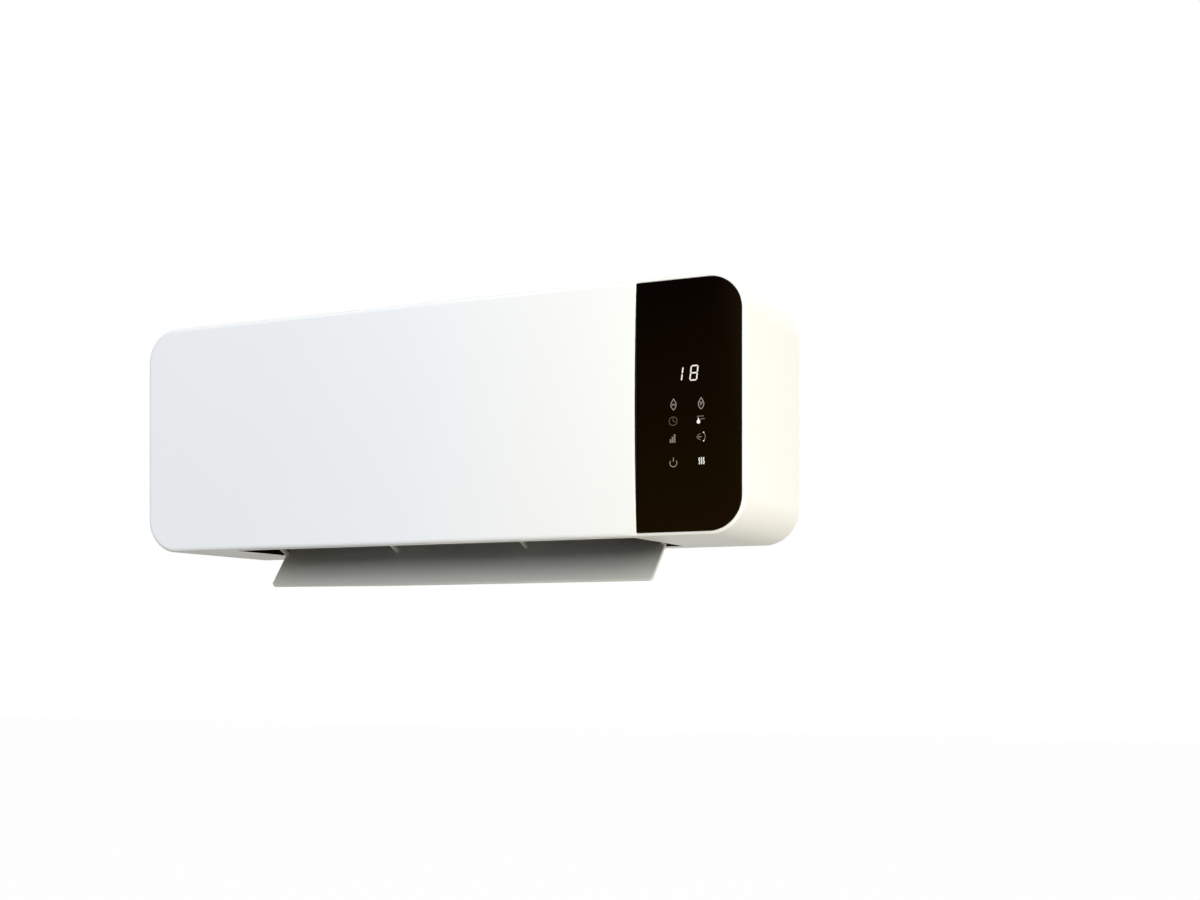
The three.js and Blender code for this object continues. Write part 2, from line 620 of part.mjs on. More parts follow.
add('front_housing', frontHousing(), whiteShell);
add('front_panel', frontPanel(), whitePanel);
add('control_glass', controlGlass(), blackGlass);
add('inlet_grille', inletGrille(), whiteShell);
add('rear_cover', rearCover(), whiteShell);
add('wall_plate', wallPlate(), zinc);
add('cable_grommet', cableGrommet(), rubber);
coverScrewPlaces.forEach(([x, z], i) => {
  const screw = add(`cover_screw_${i + 1}`, screwGeometry(COVER_SCREW_LENGTH + 4), zinc);
  screw.position.set(x, coverRear - SEAT, z);
  screw.rotation.x = Math.PI;
});

// ---------------------------------------------------------------- outlet duct
function outletDuct() {
  const w = DUCT_WALL;
  const front = outletFront + DUCT_LEDGE;
  const rear = outletRear + DUCT_RELIEF;
  const knee = ductTop - DUCT_KNEE;
  const outer = [[front - w, FLOOR], [rear + w, FLOOR], [rear + w, knee + 1],
    [throatRear + w, ductTop], [throatFront - w, ductTop], [front - w, FLOOR + w]];
  const inner = [[front, FLOOR - 1], [rear, FLOOR - 1], [rear, knee],
    [throatRear, ductTop - 1], [throatRear, ductTop + 1], [throatFront, ductTop + 1],
    [throatFront, ductTop - 1], [front, FLOOR + w]];
  const foot = block(ductLeft - w - DUCT_FLANGE, ductRight + w, outletFront - SEAT - 1.2,
    rear + w + DUCT_FLANGE, FLOOR, FLOOR + w);
  const whole = join(extrude('x', outer, ductLeft - w, ductRight + w), foot);
  const bushHoles = rod('x', pivot.y, pivot.z, PIVOT_RADIUS + RUNNING + BUSH_WALL + SEAT,
    ductLeft - 2 * w, ductRight + 2 * w);
  return cut(whole, extrude('x', inner, ductLeft, ductRight), bushHoles);
}

function louverBush(from, to, flangeFrom, flangeTo, bore) {
  const outer = bore + BUSH_WALL;
  return cut(join(rod('x', pivot.y, pivot.z, outer, from, to),
    rod('x', pivot.y, pivot.z, outer + 2, flangeFrom, flangeTo)),
  rod('x', pivot.y, pivot.z, bore, from - 5, to + 5));
}

add('outlet_duct', outletDuct(), blackPlastic);
add('louver_bush_left', louverBush(ductLeft - DUCT_WALL - SEAT, ductLeft, ductLeft - DUCT_WALL - SEAT
  - 1.2, ductLeft - DUCT_WALL - SEAT, PIVOT_RADIUS + RUNNING), greyPlastic);
add('louver_bush_right', louverBush(ductRight - SEAT, ductRight + DUCT_WALL, ductRight - SEAT - 1.2,
  ductRight - SEAT, PIVOT_RADIUS + RUNNING), greyPlastic);

// ---------------------------------------------------------------- louver, about its pivot
const louverLeft = outletLeft + LOUVER_LEFT_GAP;
const louverRight = outletRight - LOUVER_RIGHT_GAP;

function louverBody() {
  const outerFace = -LOUVER_OFFSET;
  const innerFace = outerFace + LOUVER_THICKNESS;
  const edge = LOUVER_THICKNESS / 2;
  const nose = Array.from({ length: 5 }, (_, i) => {
    const angle = Math.PI / 2 + (i * Math.PI) / 4;
    return [-LOUVER_FRONT + edge + edge * Math.cos(angle), outerFace + edge + edge * Math.sin(angle)];
  });
  const blade = extrude('x', [...nose, [LOUVER_REAR, outerFace], [LOUVER_REAR, innerFace]],
    louverLeft, louverRight);
  const lug = [[-12, innerFace - 0.5], [14, innerFace - 0.5], [LUG_BOSS, 2], [2.6, LUG_BOSS],
    [-2.6, LUG_BOSS], [-12, LUG_BOSS - 1], [-16, 0.3], [-14.7, -5.5]];
  const span = louverRight - louverLeft - LUG_THICKNESS;
  const lugs = LUG_SHARES.map((share) => {
    const x = louverLeft + share * span;
    return extrude('x', lug, x, x + LUG_THICKNESS);
  });
  const pin = rod('x', 0, 0, PIVOT_RADIUS, ductLeft - DUCT_WALL, louverLeft + 1);
  const socket = rod('x', 0, 0, STEPPER_SHAFT_RADIUS, louverRight - LUG_THICKNESS - 1,
    louverRight + 1);
  return cut(join(blade, ...lugs, pin), socket);
}

function louverShaft() {
  const start = louverRight - LUG_THICKNESS + SEAT;
  const end = ductRight + DUCT_WALL + STEPPER_SHAFT_OFFSET;
  return join(rod('x', 0, 0, PIVOT_RADIUS - 0.2, start, end),
    rod('x', 0, 0, LUG_BOSS - 1, louverRight + SEAT, louverRight + SEAT + 2));
}

const louverGroup = new THREE.Group();
louverGroup.position.copy(pivot);
louverGroup.rotation.x = THREE.MathUtils.degToRad(LOUVER_OPEN);
heater.add(louverGroup);
add('louver', louverBody(), whiteShell, louverGroup);
add('louver_motor_shaft', louverShaft(), steel, louverGroup);

// ---------------------------------------------------------------- louver motor
function louverMotor() {
  const z = pivot.z + STEPPER_SHAFT_OFFSET;
  const start = bayLeft;
  const can = rod('x', pivot.y, z, STEPPER_RADIUS, start, start + STEPPER_LENGTH);
  const half = STEPPER_EAR_PITCH / 2;
  const ears = extrude('x', rectangle(pivot.y - half - 3.5, pivot.y + half + 3.5, z - 3.5, z + 3.5),
    start, start + 1);
  const holes = [-half, half].map((dy) => rod('x', pivot.y + dy, z, SCREW_RADIUS + RUNNING,
    start - 1, start + 2, 12));
  const well = rod('x', pivot.y, pivot.z, PIVOT_RADIUS + RUNNING, start - 1,
    start + STEPPER_SHAFT_OFFSET + 1);
  return cut(join(can, ears), ...holes, well);
}

add('louver_motor', louverMotor(), zinc);

// ---------------------------------------------------------------- heater, about its left end
const heaterPlace = new THREE.Vector3(heaterLeft, throatFront + SEAT, frameBottom + FRAME_FLOOR);
const finDepth = (HEATER_DEPTH - (FIN_ROWS - 1) * TUBE_WIDTH - 2 * (FIN_ROWS - 1) * SEAT) / FIN_ROWS;
const rowPitch = finDepth + TUBE_WIDTH + 2 * SEAT;
const terminalZ = (HEATER_HEIGHT - TERMINAL_HEIGHT) / 2;

// Zigzag sheet. Its rise leaves room for the sheet's mitred bends, so that it fills finDepth.
function heaterFins() {
  const length = HEATER_LENGTH - 2 * FIN_SHEET;
  const waves = Math.floor(length / FIN_PITCH);
  const half = length / (2 * waves);
  const thin = 1 - (FIN_SHEET / half) ** 2;
  const rise = (finDepth - Math.sqrt(finDepth ** 2 - thin * (finDepth ** 2 - FIN_SHEET ** 2))) / thin;
  const low = -finDepth / 2;
  const line = Array.from({ length: 2 * waves + 1 }, (_, i) =>
    [FIN_SHEET + i * half, low + (i % 2 ? rise : 0)]);
  return extrude('z', ribbon(line, FIN_SHEET), 0, HEATER_HEIGHT);
}

function heaterTube() {
  const rim = 0.8;
  const outside = rectangle(0, HEATER_LENGTH, -TUBE_WIDTH / 2, TUBE_WIDTH / 2);
  const body = extrude('z', outside, 0, HEATER_HEIGHT);
  const bore = block(-1, HEATER_LENGTH + 1, rim - TUBE_WIDTH / 2, TUBE_WIDTH / 2 - rim,
    terminalZ - 2, terminalZ + TERMINAL_HEIGHT + 2);
  return cut(body, bore);
}

function heaterTerminal() {
  return block(-FRAME_END, FRAME_END + TERMINAL_REACH, -TERMINAL_SHEET / 2, TERMINAL_SHEET / 2,
    terminalZ, terminalZ + TERMINAL_HEIGHT);
}

function heaterFrame() {
  const outside = block(-FRAME_END, HEATER_LENGTH + FRAME_END, -FRAME_SIDE, HEATER_DEPTH + FRAME_SIDE,
    -FRAME_FLOOR, HEATER_HEIGHT + FRAME_FLOOR);
  const opening = block(-SEAT, HEATER_LENGTH + SEAT, -SEAT, HEATER_DEPTH + SEAT, -5,
    HEATER_HEIGHT + 5);
  const ways = Array.from({ length: FIN_ROWS - 1 }, (_, i) => {
    const y = finDepth + SEAT + TUBE_WIDTH / 2 + i * rowPitch;
    return block(HEATER_LENGTH - 1, HEATER_LENGTH + FRAME_END + 1, y - TERMINAL_SHEET / 2 - SEAT,
      y + TERMINAL_SHEET / 2 + SEAT, terminalZ - SEAT, terminalZ + TERMINAL_HEIGHT + SEAT);
  });
  return cut(outside, opening, ...ways);
}

const heaterGroup = new THREE.Group();
heaterGroup.position.copy(heaterPlace);
heater.add(heaterGroup);
add('heater_frame', heaterFrame(), mica, heaterGroup);
for (let row = 0; row < FIN_ROWS; row += 1) {
  const fins = add(`heater_fins_${row + 1}`, heaterFins(), aluminium, heaterGroup);
  fins.position.y = finDepth / 2 + row * rowPitch;
}
for (let row = 0; row + 1 < FIN_ROWS; row += 1) {
  const y = finDepth + SEAT + TUBE_WIDTH / 2 + row * rowPitch;
  add(`heater_tube_${row + 1}`, heaterTube(), aluminium, heaterGroup).position.y = y;
  add(`heater_terminal_${row + 1}`, heaterTerminal(), steel, heaterGroup)
    .position.set(HEATER_LENGTH, y, 0);
}

// ---------------------------------------------------------------- fan casing
const onScroll = (angle, radius) => {
  const turn = THREE.MathUtils.degToRad(angle);
  return [fan.y + radius * Math.cos(turn), fan.z + radius * Math.sin(turn)];
};
const lipRear = outletRear + SCROLL_START;
const wallFront = FRONT + CONTROL_BOARD_SETBACK + 8.5;

function rearWallLine() {
  const first = 50;
  const last = -55;
  const steps = 10;
  const spiral = Array.from({ length: steps + 1 }, (_, i) => onScroll(first + ((last - first) * i) / steps,
    FAN_RADIUS + SCROLL_START + (SCROLL_GROWTH * i) / steps));
  return [[lipRear, scrollTop], [lipRear, fan.z + FAN_RADIUS + 3 * SCROLL_START], ...spiral,
    [throatRear, scrollBase + SCROLL_START], [throatRear, scrollBase]];
}

function frontWallLine() {
  const tip = onScroll(-132, FAN_RADIUS + TONGUE_GAP);
  return [[throatFront, scrollBase], tip, [tip[0] - 9, fan.z - 18], [wallFront + 12, fan.z - 8],
    [wallFront, fan.z + 8], [wallFront, scrollTop]];
}

function scrollCasing() {
  const rearLine = rearWallLine();
  const rear = extrude('x', ribbon(rearLine, SCROLL_WALL), scrollLeft - SCROLL_WALL / 2,
    scrollRight + SCROLL_WALL / 2);
  const side = [...offsetLine(rearLine, SCROLL_WALL), ...offsetLine(frontWallLine(), SCROLL_WALL)];
  const ends = [scrollLeft - SCROLL_WALL, scrollRight].map((x) =>
    extrude('x', side, x, x + SCROLL_WALL));
  const rubberHole = rod('x', fan.y, fan.z, RUBBER_RADIUS + SEAT, scrollLeft - 5, scrollLeft + 1);
  const hubHole = rod('x', fan.y, fan.z, HUB_RADIUS, scrollRight - 1, scrollRight + 5);
  return cut(join(rear, ...ends), rubberHole, hubHole);
}

const scrollTongue = () => extrude('x', ribbon(frontWallLine(), SCROLL_WALL), scrollLeft + SEAT,
  scrollRight - SEAT);

add('scroll_casing', scrollCasing(), blackPlastic);
add('scroll_tongue', scrollTongue(), blackPlastic);

// ---------------------------------------------------------------- fan wheel, about its axis
function fanBlade(turn) {
  const steps = 2;
  const arc = Array.from({ length: steps + 1 }, (_, i) => {
    const radius = FAN_RADIUS - BLADE_SHEET / 2 - (BLADE_DEPTH * i) / steps;
    const angle = turn + 0.34 * Math.sin((i / steps) * (Math.PI / 2));
    return [radius * Math.cos(angle), radius * Math.sin(angle)];
  });
  return extrude('x', ribbon(arc, BLADE_SHEET), 0.5, FAN_LENGTH - 0.5);
}

function fanWheel() {
  const blades = Array.from({ length: FAN_BLADES }, (_, i) => fanBlade((i * 2 * Math.PI) / FAN_BLADES));
  const inner = FAN_RADIUS - BLADE_DEPTH - 2;
  const discs = Array.from({ length: FAN_SECTIONS + 1 }, (_, i) => {
    const x = (i * (FAN_LENGTH - FAN_DISC)) / FAN_SECTIONS;
    const isEnd = i === 0 || i === FAN_SECTIONS;
    return isEnd ? rod('x', 0, 0, FAN_RADIUS, x, x + FAN_DISC)
      : tube('x', 0, 0, FAN_RADIUS, inner, x, x + FAN_DISC);
  });
  const hubs = [rod('x', 0, 0, HUB_RADIUS - 1, 1, HUB_LENGTH),
    rod('x', 0, 0, HUB_RADIUS - 1, FAN_LENGTH - HUB_LENGTH, FAN_LENGTH - 1)];
  const bores = [rod('x', 0, 0, SHAFT_RADIUS + SEAT, -1, HUB_LENGTH - 2),
    rod('x', 0, 0, SHAFT_RADIUS + SEAT, FAN_LENGTH - HUB_LENGTH + 2, FAN_LENGTH + 1)];
  return cut(join(...discs, ...blades, ...hubs), ...bores);
}

const shaftEnd = statorEnd - fan.x + SEAT + BRACKET_POST + BRACKET_SHEET + 2;
const fanGroup = new THREE.Group();
fanGroup.position.copy(fan);
heater.add(fanGroup);
add('fan_wheel', fanWheel(), blackPlastic, fanGroup);
add('fan_pivot_pin', rod('x', 0, 0, SHAFT_RADIUS, -FAN_END_GAP - SCROLL_WALL - 2,
  HUB_LENGTH - 2 - SEAT), steel, fanGroup);
add('motor_shaft', rod('x', 0, 0, SHAFT_RADIUS, FAN_LENGTH - HUB_LENGTH + 2 + SEAT, shaftEnd),
  steel, fanGroup);
add('motor_rotor', tube('x', 0, 0, ROTOR_RADIUS, SHAFT_RADIUS + SEAT, statorStart - fan.x,
  statorEnd - fan.x), steel, fanGroup);

// ---------------------------------------------------------------- fan bearing
const bearingLeft = scrollLeft - SCROLL_WALL / 2 - BEARING_LENGTH / 2;
function bearingRing() {
  const ring = join(rod('x', 0, 0, RUBBER_RADIUS, 0, BEARING_LENGTH),
    rod('x', 0, 0, RUBBER_RADIUS + 2, 0, (BEARING_LENGTH - SCROLL_WALL) / 2 - SEAT));
  return cut(ring, rod('x', 0, 0, BEARING_RADIUS + SEAT, -1, BEARING_LENGTH + 1));
}
add('bearing_ring', bearingRing(), rubber).position.set(bearingLeft, fan.y, fan.z);
add('fan_bearing', tube('x', 0, 0, BEARING_RADIUS, SHAFT_RADIUS + RUNNING, 0, BEARING_LENGTH), bronze)
  .position.set(bearingLeft, fan.y, fan.z);

// ---------------------------------------------------------------- fan motor, about the fan's axis
const screwPlaces = [-MOTOR_SCREW_PITCH / 2, MOTOR_SCREW_PITCH / 2];
const motorScrewZ = STATOR_HEIGHT / 2 - STATOR_SHIFT - STATOR_LIMB / 2;
const limbZ = -STATOR_SHIFT - STATOR_HEIGHT / 2 + STATOR_LIMB / 2;
const coilWindowTop = -ROTOR_RADIUS - ROTOR_GAP - STATOR_NECK;

function motorStator() {
  const low = -STATOR_SHIFT - STATOR_HEIGHT / 2;
  const core = extrude('x', rectangle(-STATOR_WIDTH / 2, STATOR_WIDTH / 2, low, low + STATOR_HEIGHT),
    0, STATOR_LENGTH);
  const window = block(-1, STATOR_LENGTH + 1, -COIL_LENGTH / 2 - SEAT, COIL_LENGTH / 2 + SEAT,
    low + STATOR_LIMB, coilWindowTop);
  const bore = rod('x', 0, 0, ROTOR_RADIUS + ROTOR_GAP, -1, STATOR_LENGTH + 1);
  const holes = screwPlaces.map((y) => rod('x', y, motorScrewZ, MOTOR_SCREW_RADIUS + SEAT, -1,
    STATOR_LENGTH + 1, 12));
  return cut(core, window, bore, ...holes);
}

function motorCoil() {
  const limb = STATOR_LIMB / 2 + SEAT;
  const window = coilWindowTop - (limbZ + STATOR_LIMB / 2) - SEAT;
  const wall = Math.min(COIL_THICKNESS, window - SEAT);
  const outside = block(-wall - SEAT, STATOR_LENGTH + wall + SEAT, -COIL_LENGTH / 2, COIL_LENGTH / 2,
    limbZ - limb - wall, limbZ + limb + wall);
  return cut(outside, block(-SEAT, STATOR_LENGTH + SEAT, -COIL_LENGTH, COIL_LENGTH, limbZ - limb,
    limbZ + limb));
}

// Strap across the motor's face with a boss for the shaft and a post at each screw. The posts
// point towards the stator: side is 1 where that is to the right.
function motorBracket(side) {
  const reach = MOTOR_SCREW_PITCH / 2 + BRACKET_WIDTH / 2;
  const span = (from, to) => (side > 0 ? [from, to] : [-to, -from]);
  const strap = extrude('x', [[-reach, motorScrewZ - 5], [-HUB_RADIUS, -HUB_RADIUS],
    [HUB_RADIUS, -HUB_RADIUS], [reach, motorScrewZ - 5], [reach, motorScrewZ + 5],
    [-reach, motorScrewZ + 5]], ...span(0, BRACKET_SHEET));
  const depth = BRACKET_SHEET + BRACKET_POST;
  const boss = rod('x', 0, 0, HUB_RADIUS - 1, ...span(0, depth - 1));
  const posts = screwPlaces.map((y) => rod('x', y, motorScrewZ, 4, ...span(0, depth), 12));
  const holes = screwPlaces.map((y) => rod('x', y, motorScrewZ, MOTOR_SCREW_RADIUS + SEAT,
    ...span(-1, depth + 1), 12));
  const bore = rod('x', 0, 0, SHAFT_RADIUS + RUNNING, ...span(-1, depth + 1));
  return cut(join(strap, boss, ...posts), ...holes, bore);
}

const motorGroup = new THREE.Group();
motorGroup.position.set(statorStart, fan.y, fan.z);
heater.add(motorGroup);
const outerBracketX = STATOR_LENGTH + SEAT + BRACKET_POST + BRACKET_SHEET;
add('motor_stator', motorStator(), steel, motorGroup);
add('motor_coil', motorCoil(), copper, motorGroup);
add('motor_bracket_inner', motorBracket(1), zinc, motorGroup).position.x = motorStart - statorStart;
add('motor_bracket_outer', motorBracket(-1), zinc, motorGroup).position.x = outerBracketX;
screwPlaces.forEach((y, i) => {
  const length = outerBracketX - (motorStart - statorStart) + SEAT + SCREW_HEAD - 0.5;
  const screw = add(`motor_screw_${i + 1}`, screwGeometry(length, MOTOR_SCREW_RADIUS), zinc, motorGroup);
  screw.position.set(outerBracketX + SEAT + SCREW_HEAD, y, motorScrewZ);
  screw.rotation.z = Math.PI / 2;
});

// ---------------------------------------------------------------- control board, behind the glass
const controlHalf = boardRight - glassCentre;
const guideFront = controlFront - SEAT - ICON_GUIDE_SIZE[1];

function board(halfWidth, halfHeight, front, x, z, posts) {
  const sheet = block(x - halfWidth, x + halfWidth, front, front + BOARD_SHEET, z - halfHeight,
    z + halfHeight);
  return cut(sheet, ...posts.map(([px, pz]) => rod('y', px, pz, SCREW_RADIUS + SEAT, front - 1,
    front + BOARD_SHEET + 1, 12)));
}

function iconGuide() {
  const [w, d, h] = ICON_GUIDE_SIZE;
  const body = block(-w / 2, w / 2, 0, d, -h / 2, h / 2);
  const holes = ICON_ROWS.flatMap((z) => [-1, 1].map((side) =>
    rod('y', (side * ICON_SPREAD) / 2, z, ICON_HOLE, -1, d + 1, 12)));
  return cut(body, ...holes);
}

function displayModule() {
  const [w, d, h] = DISPLAY_SIZE;
  return block(-w / 2, w / 2, 0, d, -h / 2, h / 2);
}

function irReceiver() {
  const profile = [[0, 0], [IR_RADIUS * 0.7, 0.5], [IR_RADIUS, 1.8], [IR_RADIUS, IR_LENGTH],
    [0, IR_LENGTH]];
  return new THREE.LatheGeometry(profile.map(([r, y]) => new THREE.Vector2(r, y)), 16);
}

add('control_board', board(controlHalf, CONTROL_BOARD_HEIGHT / 2, controlFront, glassCentre, 0,
  controlPosts), circuitBoard);
add('display_module', displayModule(), blackPlastic)
  .position.set(glassCentre, guideFront, DISPLAY_RISE);
add('icon_light_guide', iconGuide(), blackPlastic)
  .position.set(glassCentre, guideFront, ICON_GUIDE_RISE);
add('ir_receiver', irReceiver(), blackGlass)
  .position.set(glassCentre, controlFront - SEAT - IR_LENGTH, irRise);
add('buzzer', rod('y', 0, 0, BUZZER_RADIUS, 0, BUZZER_LENGTH), blackPlastic)
  .position.set(glassCentre + 2 * BUZZER_RADIUS, controlFront + BOARD_SHEET + SEAT, irRise - 4);

// ---------------------------------------------------------------- power board, on the rear cover
const partFront = powerFront - SEAT;
function onPowerBoard(name, size, x, z, material) {
  const [w, d, h] = size;
  const piece = add(name, block(-w / 2, w / 2, -d, 0, -h / 2, h / 2), material);
  piece.position.set(powerCentre + x, partFront, POWER_BOARD_RISE + z);
}

add('power_board', board(powerHalf, POWER_BOARD_HEIGHT / 2, powerFront, powerCentre, POWER_BOARD_RISE,
  powerPosts), circuitBoard);
RELAY_PLACES.forEach((x, i) =>
  onPowerBoard(`relay_${i + 1}`, RELAY_SIZE, x, RELAY_RISE, relayPlastic));
onPowerBoard('supply_transformer', TRANSFORMER_SIZE, 0, TRANSFORMER_RISE, blackPlastic);
onPowerBoard('terminal_block', TERMINAL_BLOCK_SIZE, 0, TERMINAL_BLOCK_RISE, greyPlastic);

// ---------------------------------------------------------------- thermal guards and sensor
const guardZ = frameTop - FRAME_FLOOR - HEATER_HEIGHT / 2;
const guardRear = heaterPlace.y - FRAME_SIDE - SEAT;
add('thermostat', join(rod('y', 0, 0, THERMOSTAT_RADIUS, -5, 0),
  rod('y', 0, 0, THERMOSTAT_RADIUS / 2, -8, -4)), blackPlastic)
  .position.set(heaterRight - THERMOSTAT_PLACE, guardRear, guardZ);
add('thermal_fuse', rod('x', 0, 0, FUSE_RADIUS, 0, FUSE_LENGTH, 12), zinc)
  .position.set(heaterRight - FUSE_PLACE, guardRear - FUSE_RADIUS, guardZ);
add('room_sensor', join(rod('z', 0, 0, SENSOR_RADIUS, 0, SENSOR_LENGTH, 12),
  block(-2 * SENSOR_RADIUS, 2 * SENSOR_RADIUS, -1, 1, SENSOR_LENGTH - 2, SENSOR_LENGTH)), leadBlue)
  .position.set(RIGHT - CORNER_RADIUS - 4 * SENSOR_RADIUS, outletFront + OUTLET_DEPTH * 0.3, FLOOR);

// ---------------------------------------------------------------- louver motor screws and leads
[-1, 1].forEach((side, i) => {
  const screw = add(`louver_motor_screw_${i + 1}`, screwGeometry(SCREW_HEAD + 1.4), zinc);
  screw.position.set(bayLeft + 1 + SEAT + SCREW_HEAD, pivot.y + (side * STEPPER_EAR_PITCH) / 2,
    pivot.z + STEPPER_SHAFT_OFFSET);
  screw.rotation.z = Math.PI / 2;
});

const terminalEnd = heaterRight + FRAME_END + TERMINAL_REACH + SEAT;
const terminalHeight = heaterPlace.z + HEATER_HEIGHT / 2;
const blockFront = partFront - TERMINAL_BLOCK_SIZE[1] - SEAT;
const blockZ = POWER_BOARD_RISE + TERMINAL_BLOCK_RISE;
for (let row = 0; row + 1 < FIN_ROWS; row += 1) {
  const y = heaterPlace.y + finDepth + SEAT + TUBE_WIDTH / 2 + row * rowPitch;
  const x = powerCentre + (row - 0.6) * (TERMINAL_BLOCK_SIZE[0] / 2 - 1);
  add(`heater_lead_${row + 1}`, leadGeometry([[terminalEnd, y, terminalHeight],
    [terminalEnd + 10, y, terminalHeight], [x - 6, y + 12, (terminalHeight + blockZ) / 2],
    [x, blockFront - 12, blockZ], [x, blockFront, blockZ]]), row ? leadBlue : leadRed);
}
const coilEnd = statorEnd + COIL_THICKNESS + 2 * SEAT + LEAD_RADIUS;
const supplyFront = partFront - TRANSFORMER_SIZE[1] - SEAT;
const supplyZ = POWER_BOARD_RISE + TRANSFORMER_RISE + 2;
const displayLeadX = glassCentre - ICON_GUIDE_SIZE[0] / 2 + 2;
const displayLeadZ = -0.3 * CONTROL_BOARD_HEIGHT - 1;
const powerLeadZ = POWER_BOARD_RISE - 0.4 * POWER_BOARD_HEIGHT;
add('motor_lead', leadGeometry([[coilEnd, fan.y + 8, fan.z + limbZ], [coilEnd + 14, fan.y + 8,
  fan.z + limbZ], [powerCentre - 6, supplyFront - 16, supplyZ], [powerCentre - 6, supplyFront,
  supplyZ]]), leadRed);
add('display_lead', leadGeometry([[displayLeadX, controlFront + BOARD_SHEET + SEAT, displayLeadZ],
  [displayLeadX, controlFront + 14, displayLeadZ], [powerCentre + 10, partFront - 34, powerLeadZ],
  [powerCentre + 10, partFront, powerLeadZ]]), leadBlue);

export default heater;
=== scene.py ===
import json
from math import cos, pi, radians, sin

import bmesh
import bpy
from mathutils import Matrix, Vector

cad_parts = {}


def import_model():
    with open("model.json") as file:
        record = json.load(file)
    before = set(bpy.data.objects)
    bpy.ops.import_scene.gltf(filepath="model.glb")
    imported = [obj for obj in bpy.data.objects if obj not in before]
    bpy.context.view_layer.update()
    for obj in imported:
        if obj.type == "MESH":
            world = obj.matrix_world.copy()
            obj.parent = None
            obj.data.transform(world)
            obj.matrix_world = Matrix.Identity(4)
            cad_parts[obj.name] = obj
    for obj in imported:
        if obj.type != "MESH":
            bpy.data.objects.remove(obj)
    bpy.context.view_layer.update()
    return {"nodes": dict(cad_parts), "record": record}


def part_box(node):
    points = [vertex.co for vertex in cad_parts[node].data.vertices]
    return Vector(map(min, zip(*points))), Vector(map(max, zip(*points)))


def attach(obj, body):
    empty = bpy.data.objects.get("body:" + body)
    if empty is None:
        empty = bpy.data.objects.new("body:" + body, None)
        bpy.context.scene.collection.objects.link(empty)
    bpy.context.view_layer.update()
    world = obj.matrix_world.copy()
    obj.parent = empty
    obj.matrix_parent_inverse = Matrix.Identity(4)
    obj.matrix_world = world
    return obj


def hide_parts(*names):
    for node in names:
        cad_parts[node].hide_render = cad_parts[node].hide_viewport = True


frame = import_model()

# ---------------------------------------------------------------- measures, in millimetres
MM = 0.001                      # metres in a millimetre
SEAT = 0.3                      # between pieces that rest on each other
PAST = 1.0                      # how far a cutting tool reaches past what it cuts
PAST_FAR = 5.0                  # the same for the two largest tools
MOULD_EDGE = 0.35               # rounding of the edges of moulded pieces
EDGE_STEPS = 3                  # strips in a rounded edge
SHARP = radians(32)             # edges sharper than this are rounded
SAME_POINT = 0.002              # points closer than this are one
SAME_PLANE = radians(0.5)       # neighbouring faces merge below this angle
SAME_PLANE_FINE = radians(0.05)
SMALL_STEPS = 6                 # steps round a small corner

# Housing
CORNER = 28.0                   # its corners, seen from the front
WALL = 2.5
RIM_WIDTH = 2.7                 # bright rim round the glass
RIM_SETBACK = 0.8
RIM_ROUND = 2.4
RIM_INNER = ((0.0, 0.25), (0.1, 0.06))  # the rim's inner edge: outwards, and back
REAR_EDGE = 0.4                 # rounding of the rear edge, and how far its middle point is in
REAR_EDGE_MIDDLE = 0.12
BOSS_SIZE = 12.0                # bosses for the screws of the back cover
BOSS_LENGTH = 14.0
PILOT_RADIUS = 1.7
COVER_LIP = 7.5                 # how deep the back cover's lip sits in the housing
LIGHT_WINDOW = (22.0, -53.8, 33.5)      # opening behind the glass: half width, low and high
RECEIVER_RISE = 53.0            # hole of the receiver behind the glass
RECEIVER_HOLE = 4.0

# White panel, its clips, and the glass
PANEL_CROWN = 3.3               # bulge at its right end
PANEL_CROWN_LEFT = 0.4
PANEL_EDGE = (3.2, 2.2)         # rounding of its edge: inwards, and front to back
PANEL_END_SHARE = 0.12          # share of that beside the glass
PANEL_GRID = (36, 28)           # fields along and up the crowned face
CLIP_SIZE = 5.0
CLIP_COUNT = 4
CLIP_HOLE = 3.5                 # half the width of a clip's opening
CLIP_ROOT = 1.0                 # depth of a clip in the panel
CLIP_HALF = 1.2                 # half its thickness
CLIP_HOOK = (2.4, 2.2)          # its hook behind the housing's face: reach and height
STRIP_STEPS = 40                # black strip in the joint beside the glass
STRIP_SETBACK = 0.15
STRIP_CROWN = 3.2
STRIP_SIDES = (0.04, 0.3)       # its two sides, from the panel's end
GLASS_EDGE = 0.5

# Lit signs
SIGN_LIFT = 0.03                # thickness of the print
SIGN_GAP = 0.002                # between the print and the glass
SIGN_LINE = 0.5                 # width of thin lines
SIGN_COLUMNS = (214.8, 236.3)
SEGMENT = 1.0                   # width of a digit's segments
SEGMENT_GAP = 0.14

# Outlet and grille
SLOT_FRONT = 8.0                # glass face to the outlet slot
SLOT_DEPTH = 100.0
SLOT_CORNER = 1.5
SLOT_EASE = 0.02                # slot in the housing wider than its lining
OUTLET_START = 87.0             # left end of the housing to the slot
OUTLET_LENGTH = 363.0
DUCT_EDGE = 0.15
DUCT_LIP = 0.4                  # black edge of the duct inside the slot
DUCT_LIP_RIGHT = 2.6            # the same at the slot's right end
LIP_RISE = 0.1                  # underside of the housing to that edge
SHELF_SHEET = 1.0               # shelf that carries it on the housing's floor
SHELF_REACH = 2.5
SHELF_SETBACK = 1.0
GRILLE_FLANGE = 3.0
GRILLE_SHEET = 1.6              # thickness of the flange
GRILLE_LEDGE = 1.0              # how far the flange runs in under the bars
GRILLE_CORNER = 1.0
GRILLE_BAR = 4.0
GRILLE_ROWS = 8
GRILLE_COLUMNS = 4
SLAT_RADII = (1.2, 1.2, 0.3, 0.3)
CROSS_RADII = (1.0, 1.0, 0.3, 0.3)
